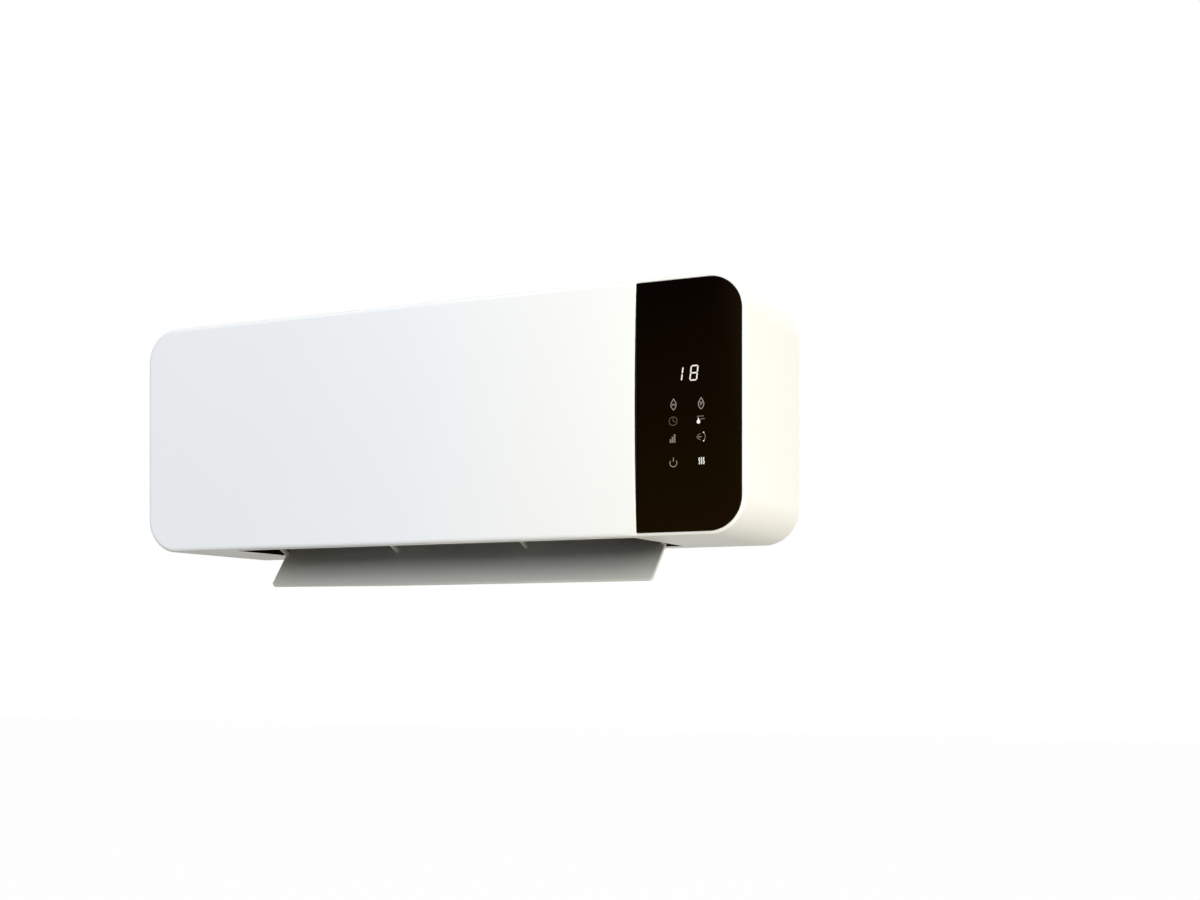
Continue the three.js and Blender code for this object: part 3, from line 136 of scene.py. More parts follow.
CROSS_DROP = 0.9                # inner cross bars below the slats

# Louver, drawn closed about its pivot
LOUVER_OPEN = radians(52)
LOUVER_FRONT = 48.3             # pivot to the blade's front edge
LOUVER_REAR = 26.0
LOUVER_OFFSET = 20.0            # pivot to the blade's outer face
LOUVER_SHEET = 2.4
LOUVER_GAPS = (1.0, 3.0)        # slot's ends to the blade's
LOUVER_CORNER = 3.0
LOUVER_BOW_LEFT = 2.4           # how far the front edge runs back at its left end
LOUVER_BOW = ((60.0, 1.6), (120.0, 0.9), (200.0, 0.5))  # the same at places along it
LOUVER_BOW_RIGHT = 0.3
LOUVER_TAPER = 2.3              # slant of the right end, which starts ahead of the pivot
LOUVER_TAPER_START = -12.0
LUG_SHEET = 2.6
LUG_SHARES = (0.0, 0.317, 0.661, 1.0)   # places of the lugs along the louver
LUG_FOOT = (-12.0, 14.0)
LUG_SUNK = 0.5                  # depth of the foot in the blade
LUG_EYE = 5.0                   # radius about the pivot
LUG_BACK = (5.0, 2.0)
LUG_NOSE = [(-12.0, 4.0), (-15.2, 2.3), (-16.0, 0.3), (-14.7, -5.5)]
LUG_WINDOW = [(-9.4, -16.8), (-12.0, -5.5), (-12.6, -1.5), (-6.5, -2.5), (1.0, -6.5),
              (9.0, -16.8)]
PIN_RADIUS = 2.2
PIN_START = 2.5                 # end of the duct to the pin's end
PIN_ROOT = 1.0                  # depth of the pin in the first lug
SHAFT_HOLE = 2.4

# Screws of the back cover
SCREW_COUNT = 4
SCREW_TOP = 0.35                # radius of the flat on top of the head
SCREW_HEAD = ((0.55, 0.08), (0.84, 0.42), (0.97, 0.95), (0.97, 1.8))    # share of radius, depth
SCREW_SHANK = 1.4
SCREW_TIP = ((1.4, 1.6), (0.25, 0.1))   # radius, and height above the end
RECESS = (0.32, 2.0)            # half width and half length of the cross recess
RECESS_DEPTH = 1.1


def extent(node):
    """A node's box at rest: low and high x, y, z in millimetres."""
    low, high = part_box(node)
    return [value / MM for value in low], [value / MM for value in high]


def centre(node):
    return [(low + high) / 2 for low, high in zip(*extent(node))]


(LEFT, _, BOTTOM), (RIGHT, BACK, TOP) = extent("front_housing")
(GLASS_LEFT, FRONT, GLASS_LOW), (GLASS_RIGHT, PANEL_REAR, GLASS_HIGH) = extent("control_glass")
(PANEL_LEFT, _, PANEL_LOW), (PANEL_RIGHT, _, PANEL_HIGH) = extent("front_panel")
FACE_REAR = PANEL_REAR + SEAT + WALL
GLASS_CENTRE = (GLASS_LEFT + GLASS_RIGHT) / 2
GLASS_CORNER = CORNER - RIM_WIDTH - SEAT
CLIP_RISE = TOP - RIM_WIDTH - SEAT - 3 * CLIP_SIZE
OUTLET_LEFT = LEFT + OUTLET_START
OUTLET_RIGHT = OUTLET_LEFT + OUTLET_LENGTH
SLOT_START = FRONT + SLOT_FRONT
SLOT_END = SLOT_START + SLOT_DEPTH


# ---------------------------------------------------------------- shader kit
class Field:
    """A value or colour that varies over a surface. Its sums and products add Math nodes."""

    def __init__(self, kit, socket):
        self.kit = kit
        self.socket = socket

    def worked(self, operation, first, second):
        return self.kit.add("ShaderNodeMath", {"operation": operation}, {0: first, 1: second})

    def __add__(self, other):
        return self.worked("ADD", self, other)

    def __radd__(self, other):
        return self.worked("ADD", other, self)

    def __sub__(self, other):
        return self.worked("SUBTRACT", self, other)

    def __rsub__(self, other):
        return self.worked("SUBTRACT", other, self)

    def __mul__(self, other):
        return self.worked("MULTIPLY", self, other)

    def __truediv__(self, other):
        return self.worked("DIVIDE", self, other)

    def __gt__(self, other):
        return self.worked("GREATER_THAN", self, other)

    def at_least(self, other):
        return self.worked("MAXIMUM", self, other)


class Kit:
    """The nodes of one material or world."""

    def __init__(self, tree):
        self.tree = tree
        tree.nodes.clear()

    def add(self, kind, settings=None, sockets=None, output=0):
        """Adds a node, its settings first and then its sockets, and gives one of its outputs."""
        node = self.tree.nodes.new(kind)
        for name, value in (settings or {}).items():
            if name == "stops":
                ramp = node.color_ramp
                while len(ramp.elements) < len(value):
                    ramp.elements.new(0.5)
                for element, (position, colour) in zip(ramp.elements, value):
                    element.position = position
                    element.color = (*colour, 1.0)
            else:
                setattr(node, name, value)
        for name, value in (sockets or {}).items():
            if isinstance(value, Field):
                self.tree.links.new(value.socket, node.inputs[name])
            elif isinstance(value, tuple) and len(value) == 3 \
                    and len(node.inputs[name].default_value) == 4:
                node.inputs[name].default_value = (*value, 1.0)
            else:
                node.inputs[name].default_value = value
        return Field(self, node.outputs[output]) if len(node.outputs) else None

    def place(self):
        """Where a point is on the piece, in metres."""
        return self.add("ShaderNodeTexCoord", output="Object")

    def along(self, axis):
        """One coordinate of that place."""
        return self.add("ShaderNodeSeparateXYZ", sockets={0: self.place()}, output=axis)

    def stretched(self, x, y, z):
        return self.add("ShaderNodeVectorMath", {"operation": "MULTIPLY"},
                        {0: self.place(), 1: (x, y, z)})

    def noise(self, scale, detail, vector=None):
        """Cloudy value about 0.5, with scale clouds to the metre."""
        return self.add("ShaderNodeTexNoise", sockets={
            "Vector": vector or self.place(), "Scale": scale, "Detail": detail})

    def cells(self, scale):
        """A different value in each of many small cells, scale of them to the metre."""
        colour = self.add("ShaderNodeTexVoronoi", sockets={
            "Vector": self.place(), "Scale": scale}, output="Color")
        return self.add("ShaderNodeSeparateColor", sockets={0: colour})

    def mix(self, factor, first, second):
        return self.add("ShaderNodeMix", {"data_type": "RGBA"},
                        {0: factor, 6: first, 7: second}, output=2)

    def bump(self, height, strength, depth):
        """Relief of a given depth in millimetres."""
        return self.add("ShaderNodeBump", sockets={
            "Height": height, "Strength": strength, "Distance": depth * MM})

    def surface(self, **sockets):
        """The shader of the material, with its sockets named by words joined with _."""
        named = {name.replace("_", " "): value for name, value in sockets.items()}
        shader = self.add("ShaderNodeBsdfPrincipled", sockets=named)
        self.add("ShaderNodeOutputMaterial", sockets={"Surface": shader})


def new_finish(name):
    material = bpy.data.materials.new(name)
    material.use_nodes = True
    return material, Kit(material.node_tree)


def shade(colour, factor):
    return tuple(min(channel * factor, 1.0) for channel in colour)


# ---------------------------------------------------------------- finishes
def moulded(name, colour, gloss, grain=0.25, grain_size=0.6, mottle=0.02, level=0.5):
    """Injection-moulded plastic: a fine spark-eroded grain and faint flow marks."""
    material, kit = new_finish(name)
    fine = kit.noise(1 / (grain_size * MM), 3.0)
    flow = kit.noise(9.0, 3.0, kit.stretched(1.0, 1.0, 2.2))
    tone = kit.mix(flow, shade(colour, 1 - mottle), shade(colour, 1 + mottle))
    kit.surface(Base_Color=tone, Roughness=gloss + (fine - 0.5) * 0.1 + (flow - 0.5) * 0.05,
                Normal=kit.bump(fine, grain, 0.02), Specular_IOR_Level=level)
    return material


def lacquered(name, painted_light_tones):
    """White front panel: a clear gloss over smooth plastic, with a very slight ripple.

    The tones are a row of places along the panel, 0 to 1, each with its colour. They are painted
    light: cool at the left, darkest near the middle, and warm and brighter at the right.
    """
    material, kit = new_finish(name)
    along = (kit.along("X") - PANEL_LEFT * MM) / ((PANEL_RIGHT - PANEL_LEFT) * MM)
    # painted light: the colour runs from cool at the left to warm and brighter at the right
    colour = kit.add("ShaderNodeValToRGB", {"stops": painted_light_tones}, {"Fac": along})
    ripple = kit.noise(55.0, 1.0)
    fine = kit.noise(1400.0, 2.0)
    flow = kit.noise(6.0, 2.0)
    tone = kit.mix(flow * 0.02, colour, (0.0, 0.0, 0.0))
    kit.surface(Base_Color=tone, Roughness=0.3 + (fine - 0.5) * 0.05,
                Normal=kit.bump(ripple, 0.12, 0.02), Coat_Weight=0.12, Coat_Roughness=0.08,
                Specular_IOR_Level=0.4)
    return material


def smoked_glass(name):
    """Black-brown control glass with a coating against reflections and a few dust specks; its brown
    towards the bottom is a painted reflection of warm light.
    """
    material, kit = new_finish(name)
    # painted reflection of warm light: brown at the bottom, fading to black at the top
    height = (kit.along("Z") - BOTTOM * MM) / ((TOP - BOTTOM) * MM)
    tone = kit.mix(height, (0.0072, 0.0036, 0.0002), (0.0008, 0.0001, 0.0001))
    dust = kit.noise(900.0, 1.0) > 0.74
    smear = kit.noise(22.0, 3.0)
    kit.surface(Base_Color=kit.mix(dust * 0.5, tone, (0.012, 0.01, 0.006)),
                Roughness=0.05 + smear * 0.06 + dust * 0.2, Specular_IOR_Level=0.02,
                Specular_Tint=(1.0, 0.6, 0.2, 1.0),
                Normal=kit.bump(kit.noise(30.0, 1.0), 0.05, 0.01))
    return material


def lit(name, colour):
    """Light that shines through clear print, a little unevenly."""
    material, kit = new_finish(name)
    flicker = kit.noise(700.0, 2.0)
    tone = kit.mix(flicker, shade(colour, 0.86), colour)
    kit.surface(Base_Color=(0.01, 0.01, 0.01), Emission_Color=tone, Emission_Strength=1.0,
                Roughness=0.4, Specular_IOR_Level=0.1)
    return material


def plated_sheet(name, colour, gloss, spangle):
    """Zinc-plated sheet with crystals of a given size in millimetres."""
    material, kit = new_finish(name)
    patch = kit.cells(1 / (spangle * MM))
    rolled = kit.noise(60.0, 4.0, kit.stretched(1.0, 14.0, 14.0))
    tone = kit.mix(patch, shade(colour, 0.88), shade(colour, 1.08))
    kit.surface(Base_Color=tone, Metallic=1.0, Normal=kit.bump(rolled, 0.12, 0.01),
                Roughness=gloss + (patch - 0.5) * 0.12 + (rolled - 0.5) * 0.1)
    return material


def plain_metal(name, colour, gloss):
    """Drawn, turned or folded metal: fine lines across the piece and a little tarnish."""
    material, kit = new_finish(name)
    line = kit.noise(260.0, 3.0, kit.stretched(12.0, 1.0, 1.0))
    tarnish = kit.noise(45.0, 4.0)
    tone = kit.mix(tarnish, shade(colour, 0.8), colour)
    kit.surface(Base_Color=tone, Metallic=1.0, Roughness=gloss + (line - 0.5) * 0.15,
                Normal=kit.bump(line, 0.2, 0.01))
    return material


def circuit_board(name):
    """Green solder mask over a pattern of tracks, with bright pads."""
    material, kit = new_finish(name)
    cells = kit.add("ShaderNodeTexVoronoi", {"feature": "DISTANCE_TO_EDGE"},
                    {"Vector": kit.place(), "Scale": 240.0})
    pads = kit.add("ShaderNodeTexVoronoi", {"distance": "CHEBYCHEV"},
                   {"Vector": kit.place(), "Scale": 330.0})
    track = cells > 0.12
    pad = 1 - (pads > 0.16)
    green = kit.mix(track, (0.012, 0.075, 0.03), (0.02, 0.13, 0.05))
    kit.surface(Base_Color=kit.mix(pad, green, (0.62, 0.6, 0.55)),
                Roughness=0.42 - pad * 0.15, Metallic=pad,
                Normal=kit.bump(track + pad, 0.4, 0.03))
    return material


def wound_copper(name):
    """Enamelled wire laid side by side."""
    material, kit = new_finish(name)
    turns = kit.add("ShaderNodeTexWave", {"bands_direction": "Y"},
                    {"Vector": kit.place(), "Scale": 620.0, "Distortion": 0.4})
    tone = kit.mix(turns, (0.16, 0.04, 0.012), (0.62, 0.22, 0.07))
    kit.surface(Base_Color=tone, Metallic=0.85, Roughness=0.38 - turns * 0.1, Coat_Weight=0.3,
                Normal=kit.bump(turns, 0.8, 0.1))
    return material


def mineral_board(name):
    """Heat-proof plastic with flakes of mica in it."""
    material, kit = new_finish(name)
    flake = kit.cells(520.0)
    scorch = kit.noise(18.0, 4.0)
    tone = kit.mix(flake, (0.4, 0.3, 0.17), (0.62, 0.51, 0.33))
    kit.surface(Base_Color=kit.mix(scorch * 0.5, tone, (0.3, 0.2, 0.1)),
                Roughness=0.55 + flake * 0.2, Normal=kit.bump(flake, 0.3, 0.03))
    return material


# Painted light along the white panel: cool at the left, darkest near the middle, warm and brighter
# at the right
PANEL_PAINTED_LIGHT_TONES = [(0.0, (0.9, 0.92, 0.95)), (0.25, (0.862, 0.895, 0.925)),
               (0.55, (0.86, 0.885, 0.92)), (1.0, (0.92, 0.92, 0.885))]
FINISHES = {
    "white_shell": moulded("white_shell", (0.825, 0.815, 0.772), 0.46, grain=0.3, mottle=0.012,
                           level=0.25),
    "white_panel": lacquered("white_panel", PANEL_PAINTED_LIGHT_TONES),
    "black_glass": smoked_glass("black_glass"),
    "black_plastic": moulded("black_plastic", (0.007, 0.007, 0.007), 0.55, grain=0.5, level=0.15),
    "grey_plastic": moulded("grey_plastic", (0.26, 0.265, 0.27), 0.5, grain=0.4),
    "heat_proof_plastic": mineral_board("heat_proof_plastic"),
    "relay_plastic": moulded("relay_plastic", (0.012, 0.05, 0.18), 0.35, grain=0.2),
    "circuit_board": circuit_board("circuit_board"),
    "lead_red": moulded("lead_red", (0.38, 0.02, 0.015), 0.45, grain=0.15, mottle=0.06),
    "lead_blue": moulded("lead_blue", (0.02, 0.08, 0.28), 0.45, grain=0.15, mottle=0.06),
    "rubber": moulded("rubber", (0.018, 0.018, 0.019), 0.75, grain=0.6, grain_size=0.9,
                      level=0.3),
    "zinc_plate": plated_sheet("zinc_plate", (0.6, 0.62, 0.65), 0.36, 5.0),
    "steel": plain_metal("steel", (0.52, 0.53, 0.55), 0.3),
    "aluminium": plain_metal("aluminium", (0.86, 0.87, 0.88), 0.42),
    "bronze": plain_metal("bronze", (0.5, 0.3, 0.12), 0.42),
    "copper_winding": wound_copper("copper_winding"),
}
# Greyer copy of the white shell for the louver: partly a greyer plastic, partly painted shade under
# the housing
LOUVER_GREYER_AND_SHADED = moulded("louver_greyer_and_shaded", (0.675, 0.68, 0.636), 0.5, grain=0.3, mottle=0.012,
                       level=0.15)
DUCT_BLACK = moulded("duct_black", (0.004, 0.004, 0.004), 0.8, grain=0.5, level=0.0)
LIT_BRIGHT = lit("lit_bright", (1.0, 0.95, 0.89))
LIT_WAVE = lit("lit_wave", (0.86, 0.92, 0.8))
LIT_DIM = lit("lit_dim", (0.42, 0.35, 0.3))
LIT_LOW = lit("lit_low", (0.22, 0.18, 0.15))
LIT_FAINT = lit("lit_faint", (0.11, 0.075, 0.058))
LIT_GREENISH = lit("lit_greenish", (0.33, 0.33, 0.2))


# ---------------------------------------------------------------- outlines
def circle(a, b, radius, sides):
    return [(a + radius * cos(2 * pi * i / sides), b + radius * sin(2 * pi * i / sides))
            for i in range(sides)]


def arc(x, z, radius, start, end, steps):
    """Points from one angle to another, in degrees."""
    return [(x + radius * cos(radians(start + (end - start) * i / steps)),
             z + radius * sin(radians(start + (end - start) * i / steps)))
            for i in range(steps + 1)]


def rounded(x0, x1, z0, z1, radii, steps):
    """Rounded rectangle. The radii are right top, left top, left bottom, right bottom."""
    outline = []
    corners = [(x1, z1, -1, -1), (x0, z1, 1, -1), (x0, z0, 1, 1), (x1, z0, -1, 1)]
    for quarter, ((x, z, sx, sz), radius) in enumerate(zip(corners, radii)):
        if radius > 0:
            outline += arc(x + sx * radius, z + sz * radius, radius, 90 * quarter,
                           90 * (quarter + 1), steps)
        else:
            outline.append((x, z))
    return outline


# ---------------------------------------------------------------- mesh kit
def placed(name, data):
    """New object in the scene, for a mesh, a lamp or a camera."""
    piece = bpy.data.objects.new(name, data)
    bpy.context.scene.collection.objects.link(piece)
    return piece


def made(name, points, faces):
    """Mesh through points in millimetres, with its faces turned outwards."""
    mesh = bpy.data.meshes.new(name)
    mesh.from_pydata([Vector(point) * MM for point in points], [], faces)
    form = bmesh.new()
    form.from_mesh(mesh)
    bmesh.ops.recalc_face_normals(form, faces=form.faces)
    form.to_mesh(mesh)
    form.free()
    return placed(name, mesh)


def skin(name, rings):
    """Skin through equal rings of points, capped at both ends."""
    count = len(rings[0])
    last = (len(rings) - 1) * count
    faces = [(start + i, start + (i + 1) % count, start + count + (i + 1) % count,
              start + count + i) for start in range(0, last, count) for i in range(count)]
    faces += [tuple(range(count)), tuple(range(last, last + count))]
    return made(name, [point for ring in rings for point in ring], faces)


PLACES = {
    "x": lambda a, b, along: (along, a, b),
    "y": lambda a, b, along: (a, along, b),
    "z": lambda a, b, along: (a, b, along),
}


def prism(axis, outline, start, end, name="tool"):
    return skin(name, [[PLACES[axis](a, b, along) for a, b in outline] for along in (start, end)])


def rod(axis, a, b, radius, start, end, sides):
    return prism(axis, circle(a, b, radius, sides), start, end)


def bar(x0, x1, y0, y1, z0, z1, name="tool"):
    return prism("z", [(x0, y0), (x1, y0), (x1, y1), (x0, y1)], z0, z1, name)


def plate(name, box, radii, edge, edge_steps, corner_steps, end_share=1.0):
    """Flat plate on the housing's face, with a rounded edge.

    The box is left, right, low and high. The edge says how far the rounding runs inwards and
    back, and end_share which part of it runs inwards at the right end.
    """
    left, right, low, high = box
    inward, back = edge
    path = [(0, PANEL_REAR), (0, FRONT + back)]
    for i in range(1, edge_steps + 1):
        angle = i / edge_steps * pi / 2
        path.append((inward * (1 - cos(angle)), FRONT + back * (1 - sin(angle))))
    rings = []
    for inset, y in path:
        outline = rounded(left + inset, right - inset * end_share, low + inset, high - inset,
                          [max(radius - inset, 0) for radius in radii], corner_steps)
        rings.append([(x, y, z) for x, z in outline])
    return skin(name, rings)


def settle(piece):
    """Applies the piece's modifiers."""
    graph = bpy.context.evaluated_depsgraph_get()
    mesh = bpy.data.meshes.new_from_object(piece.evaluated_get(graph))
    piece.modifiers.clear()
    before, piece.data = piece.data, mesh
    bpy.data.meshes.remove(before)


def worked(piece, tools, operation):
    for tool in tools:
        step = piece.modifiers.new(operation, "BOOLEAN")
        step.operation = operation
        step.solver = "EXACT"
        step.object = tool
    settle(piece)
    for tool in tools:
        bpy.data.objects.remove(tool)


def cut(piece, *tools):
    worked(piece, tools, "DIFFERENCE")


def joined(piece, *others):
    worked(piece, others, "UNION")


def tidied(piece, flat=SAME_PLANE):
    """Merges doubled points and the faces that lie in one plane."""
    form = bmesh.new()
    form.from_mesh(piece.data)
    bmesh.ops.remove_doubles(form, verts=form.verts, dist=SAME_POINT * MM)
    bmesh.ops.dissolve_limit(form, angle_limit=flat, verts=form.verts, edges=form.edges)
    form.to_mesh(piece.data)
    form.free()
    return piece


def shaded(piece, weight=90):
    """Smooth shading that keeps large faces flat."""
    piece.data.shade_smooth()
    even = piece.modifiers.new("shading", "WEIGHTED_NORMAL")
    even.weight = weight
    return piece


def crisp(piece, angle):
    """Smooth shading, apart from edges sharper than an angle in degrees."""
    piece.data.shade_smooth()
    piece.data.set_sharp_from_angle(angle=radians(angle))
    return piece


def softened(piece, width):
    """Rounds the sharp edges, and shades the rest smoothly."""
    bevel = piece.modifiers.new("edges", "BEVEL")
    bevel.width = width * MM
    bevel.segments = EDGE_STEPS
    bevel.limit_method = "ANGLE"
    bevel.angle_limit = SHARP
    bevel.miter_outer = "MITER_ARC"
    settle(piece)
    return shaded(piece)


def fitted(piece, slot, *nodes, body="housing", finish=None):
    """Gives a piece its finish and puts it on its body, in place of its nodes."""
    piece.data.materials.clear()
    piece.data.materials.append(finish or FINISHES[slot])
    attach(piece, body)
    if nodes:
        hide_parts(*nodes)


def copied(node, name):
    """Copy of a node's shape."""
    return tidied(placed(name, frame["nodes"][node].data.copy()))


# ---------------------------------------------------------------- housing
def clip_places():
    """Middle of each clip of the white panel, x and z."""
    first = LEFT + CORNER + CLIP_SIZE
    step = (GLASS_LEFT - 5 * CLIP_SIZE - first) / (CLIP_COUNT - 1)
    return [(first + i * step, side * CLIP_RISE) for i in range(CLIP_COUNT) for side in (-1, 1)]


def housing_shell():
    """The shell's wall from the edge of its front face, over the rim and back to that face."""
    steps = 9
    rim_front = FRONT + RIM_SETBACK
    path = [(RIM_WIDTH, PANEL_REAR + SEAT)]
    path += [(RIM_WIDTH - outward, rim_front + back) for outward, back in RIM_INNER]
    path += [(RIM_ROUND * (1 - sin(i / steps * pi / 2)),
              rim_front + RIM_ROUND * (1 - cos(i / steps * pi / 2))) for i in range(steps + 1)]
    path += [(0, BACK - REAR_EDGE), (REAR_EDGE_MIDDLE, BACK - REAR_EDGE_MIDDLE),
             (REAR_EDGE, BACK), (WALL - REAR_EDGE, BACK),
             (WALL - REAR_EDGE_MIDDLE, BACK - REAR_EDGE_MIDDLE), (WALL, BACK - REAR_EDGE),
             (WALL, FACE_REAR)]
    rings = []
    for inset, y in path:
        outline = rounded(LEFT + inset, RIGHT - inset, BOTTOM + inset, TOP - inset,
                          [CORNER - inset] * 4, 28)
        rings.append([(x, y, z) for x, z in outline])
    return skin("housing_shell", rings)


def housing():
    """White shell with the bosses of the back cover and all its openings."""
    shell = housing_shell()
    half = BOSS_SIZE / 2
    lip_front = BACK - COVER_LIP
    bosses, pilots = [], []
    for sx in (-1, 1):
        for sz in (-1, 1):
            x, z = sx * (RIGHT - CORNER - half), sz * (TOP - WALL - half)
            low, high = sorted((sz * (TOP - WALL / 2), z - sz * half))
            bosses.append(bar(x - half, x + half, lip_front - SEAT - BOSS_LENGTH,
                              lip_front - SEAT, low, high))
            pilots.append(rod("y", x, z, PILOT_RADIUS, lip_front - BOSS_LENGTH, 0, 24))
    joined(shell, *bosses)
    slot = prism("z", rounded(OUTLET_LEFT - SLOT_EASE, OUTLET_RIGHT + SLOT_EASE,
                              SLOT_START - SLOT_EASE, SLOT_END + SLOT_EASE,
                              [SLOT_CORNER] * 4, SMALL_STEPS),
                 BOTTOM - PAST, BOTTOM + WALL + PAST)
    (grille_left, grille_front, _), (grille_right, grille_back, _) = extent("inlet_grille")
    inlet = prism("z", rounded(grille_left + GRILLE_FLANGE, grille_right - GRILLE_FLANGE,
                               grille_front + GRILLE_FLANGE, grille_back - GRILLE_FLANGE,
                               [GRILLE_CORNER] * 4, SMALL_STEPS),
                  TOP - WALL - PAST, TOP + PAST)
    face = (PANEL_REAR - PAST, FACE_REAR + PAST)
    window_half, window_low, window_high = LIGHT_WINDOW
    window = bar(GLASS_CENTRE - window_half, GLASS_CENTRE + window_half, *face, window_low,
                 window_high)
    receiver = rod("y", GLASS_CENTRE, RECEIVER_RISE, RECEIVER_HOLE, *face, 40)
    clips = [bar(x - CLIP_HOLE, x + CLIP_HOLE, *face, z - CLIP_SIZE, z + CLIP_SIZE)
             for x, z in clip_places()]
    panel_seat = bar(LEFT - PAST_FAR, PANEL_RIGHT + SEAT, FRONT - PAST_FAR, PANEL_REAR + SEAT,
                     BOTTOM - PAST_FAR, TOP + PAST_FAR)
    cut(shell, slot, inlet, window, receiver, panel_seat, *pilots, *clips)
    fitted(softened(tidied(shell, SAME_PLANE_FINE), MOULD_EDGE), "white_shell", "front_housing")


# ---------------------------------------------------------------- white panel and glass
def bulge(z):
    """Share of the white panel's crown at a height: 1 in its middle and 0 at its edges."""
    return 1 - (z / PANEL_HIGH) ** 2


def crown(x):
    """How far the white panel bulges at mid height, at a place along it."""
    share = (x - PANEL_LEFT) / (PANEL_RIGHT - PANEL_LEFT)
    return PANEL_CROWN_LEFT + (PANEL_CROWN - PANEL_CROWN_LEFT) * share


def panel_clip(x, z):
    hook, height = CLIP_HOOK
    return prism("x", [
        (PANEL_REAR - CLIP_ROOT, z - CLIP_HALF), (FACE_REAR + hook, z - CLIP_HALF),
        (FACE_REAR + hook, z + height), (FACE_REAR + SEAT, z + height),
        (FACE_REAR + SEAT, z + CLIP_HALF), (PANEL_REAR - CLIP_ROOT, z + CLIP_HALF)],
        x - CLIP_SIZE / 2, x + CLIP_SIZE / 2)


def front_panel():
    """Crowned plate: a flat one with a rounded edge, divided into a grid and then bulged."""
    corner = CORNER - (PANEL_LEFT - LEFT)
    panel = plate("crowned_front_panel", (PANEL_LEFT, PANEL_RIGHT, PANEL_LOW, PANEL_HIGH),
                  [0, corner, corner, 0], PANEL_EDGE, edge_steps=8, corner_steps=22,
                  end_share=PANEL_END_SHARE)
    form = bmesh.new()
    form.from_mesh(panel.data)
    columns, rows = PANEL_GRID
    lines = [((PANEL_LEFT + (PANEL_RIGHT - PANEL_LEFT) * i / columns, 0, 0), (1, 0, 0))
             for i in range(1, columns)]
    lines += [((0, 0, PANEL_LOW + (PANEL_HIGH - PANEL_LOW) * i / rows), (0, 0, 1))
              for i in range(1, rows)]
    for point, normal in lines:
        bmesh.ops.bisect_plane(form, geom=form.verts[:] + form.edges[:] + form.faces[:],
                               plane_co=Vector(point) * MM, plane_no=normal, dist=1e-7)
    for vert in form.verts:
        x, y, z = vert.co / MM
        forward = (PANEL_REAR - y) / (PANEL_REAR - FRONT)
        vert.co.y -= crown(x) * bulge(z) * forward * MM
    form.to_mesh(panel.data)
    form.free()
    joined(panel, *[panel_clip(x, z) for x, z in clip_places()])
    fitted(shaded(panel, weight=60), "white_panel", "front_panel")


def panel_end_strip():
    """Thin black strip in the joint beside the glass, along the end of the crowned panel."""
    heights = [GLASS_LOW * (1 - 2 * i / STRIP_STEPS) for i in range(STRIP_STEPS + 1)]
    outline = [(PANEL_REAR, GLASS_LOW)]
    outline += [(FRONT + STRIP_SETBACK - STRIP_CROWN * bulge(z), z) for z in heights]
    outline.append((PANEL_REAR, GLASS_HIGH))
    start, end = STRIP_SIDES
    strip = prism("x", outline, PANEL_RIGHT + start, PANEL_RIGHT + end, "panel_end_strip")
    fitted(strip, "black_plastic")


def control_glass():
    glass = plate("control_glass_plate", (GLASS_LEFT, GLASS_RIGHT, GLASS_LOW, GLASS_HIGH),
                  [GLASS_CORNER, 0, 0, GLASS_CORNER], (GLASS_EDGE, GLASS_EDGE), edge_steps=4,
                  corner_steps=28)
    fitted(shaded(glass), "black_glass", "control_glass")


# ---------------------------------------------------------------- lit signs on the glass
def sign(name, outlines, finish):
    """Flat sign of one or more outlines in x and z, each a thin plate on the glass."""
    points, faces = [], []
    for outline in outlines:
        start, count = len(points), len(outline)
        points += [(x, FRONT - SIGN_LIFT, z) for x, z in outline]
        points += [(x, FRONT - SIGN_GAP, z) for x, z in outline]
        faces.append(tuple(range(start, start + count)))
        faces.append(tuple(range(start + count, start + 2 * count)))
        faces += [(start + i, start + (i + 1) % count, start + count + (i + 1) % count,
                   start + count + i) for i in range(count)]
    fitted(made(name, points, faces), None, finish=finish)


def stroke(points, width=SIGN_LINE, closed=False):
    """Outline of a line drawn through points. A closed line gives two halves."""
    if closed:
        half = len(points) // 2
        return stroke(points[:half + 1], width) + stroke(points[half:] + points[:1], width)
    line = [Vector(point) for point in points]
    left, right = [], []
    for i, point in enumerate(line):
        before = (point - line[i - 1]) if i else (line[1] - point)
        after = (line[i + 1] - point) if i + 1 < len(line) else before
        into, away = before.normalized(), after.normalized()
        normal = Vector((-(into.y + away.y), into.x + away.x)).normalized()
        reach = width / 2 / max(normal.dot(Vector((-into.y, into.x))), 0.4)
        left.append(tuple(point + normal * reach))
        right.append(tuple(point - normal * reach))
    return [left + right[::-1]]


def segment_digit(x, z, width, height, lit_segments, lean):
    """Leaning seven-segment digit. The segments are numbered from the top, clockwise, 7 last."""
    half = height / 2
    lines = [((0, height), (width, height)), ((width, height), (width, half)),
             ((width, half), (width, 0)), ((0, 0), (width, 0)), ((0, half), (0, 0)),
             ((0, height), (0, half)), ((0, half), (width, half))]
    outlines = []
    for number in lit_segments:
        low, high = (Vector(point) for point in lines[number - 1])
        along = (high - low).normalized()
        side = Vector((-along.y, along.x)) * SEGMENT / 2
        inner = along * SEGMENT / 2
        start, end = low + along * SEGMENT_GAP, high - along * SEGMENT_GAP
        outline = [start, start + inner + side, end - inner + side, end, end - inner - side,
                   start + inner - side]
        outlines.append([(x + point.x + lean * point.y, z + point.y) for point in outline])
    return outlines


def flame(x, z, width, height):
    """Flame with a pointed tip and foot."""
    half = height / 2
    side = [(0, -half), (0.55, -half * 0.74), (0.95, -half * 0.36), (1.0, half * 0.04),
            (0.78, half * 0.36), (0.36, half * 0.68)]
    right = [(x + a * width / 2, z + b) for a, b in side]
    left = [(x - a * width / 2, z + b) for a, b in side[1:]][::-1]
    return right + [(x, z + half)] + left


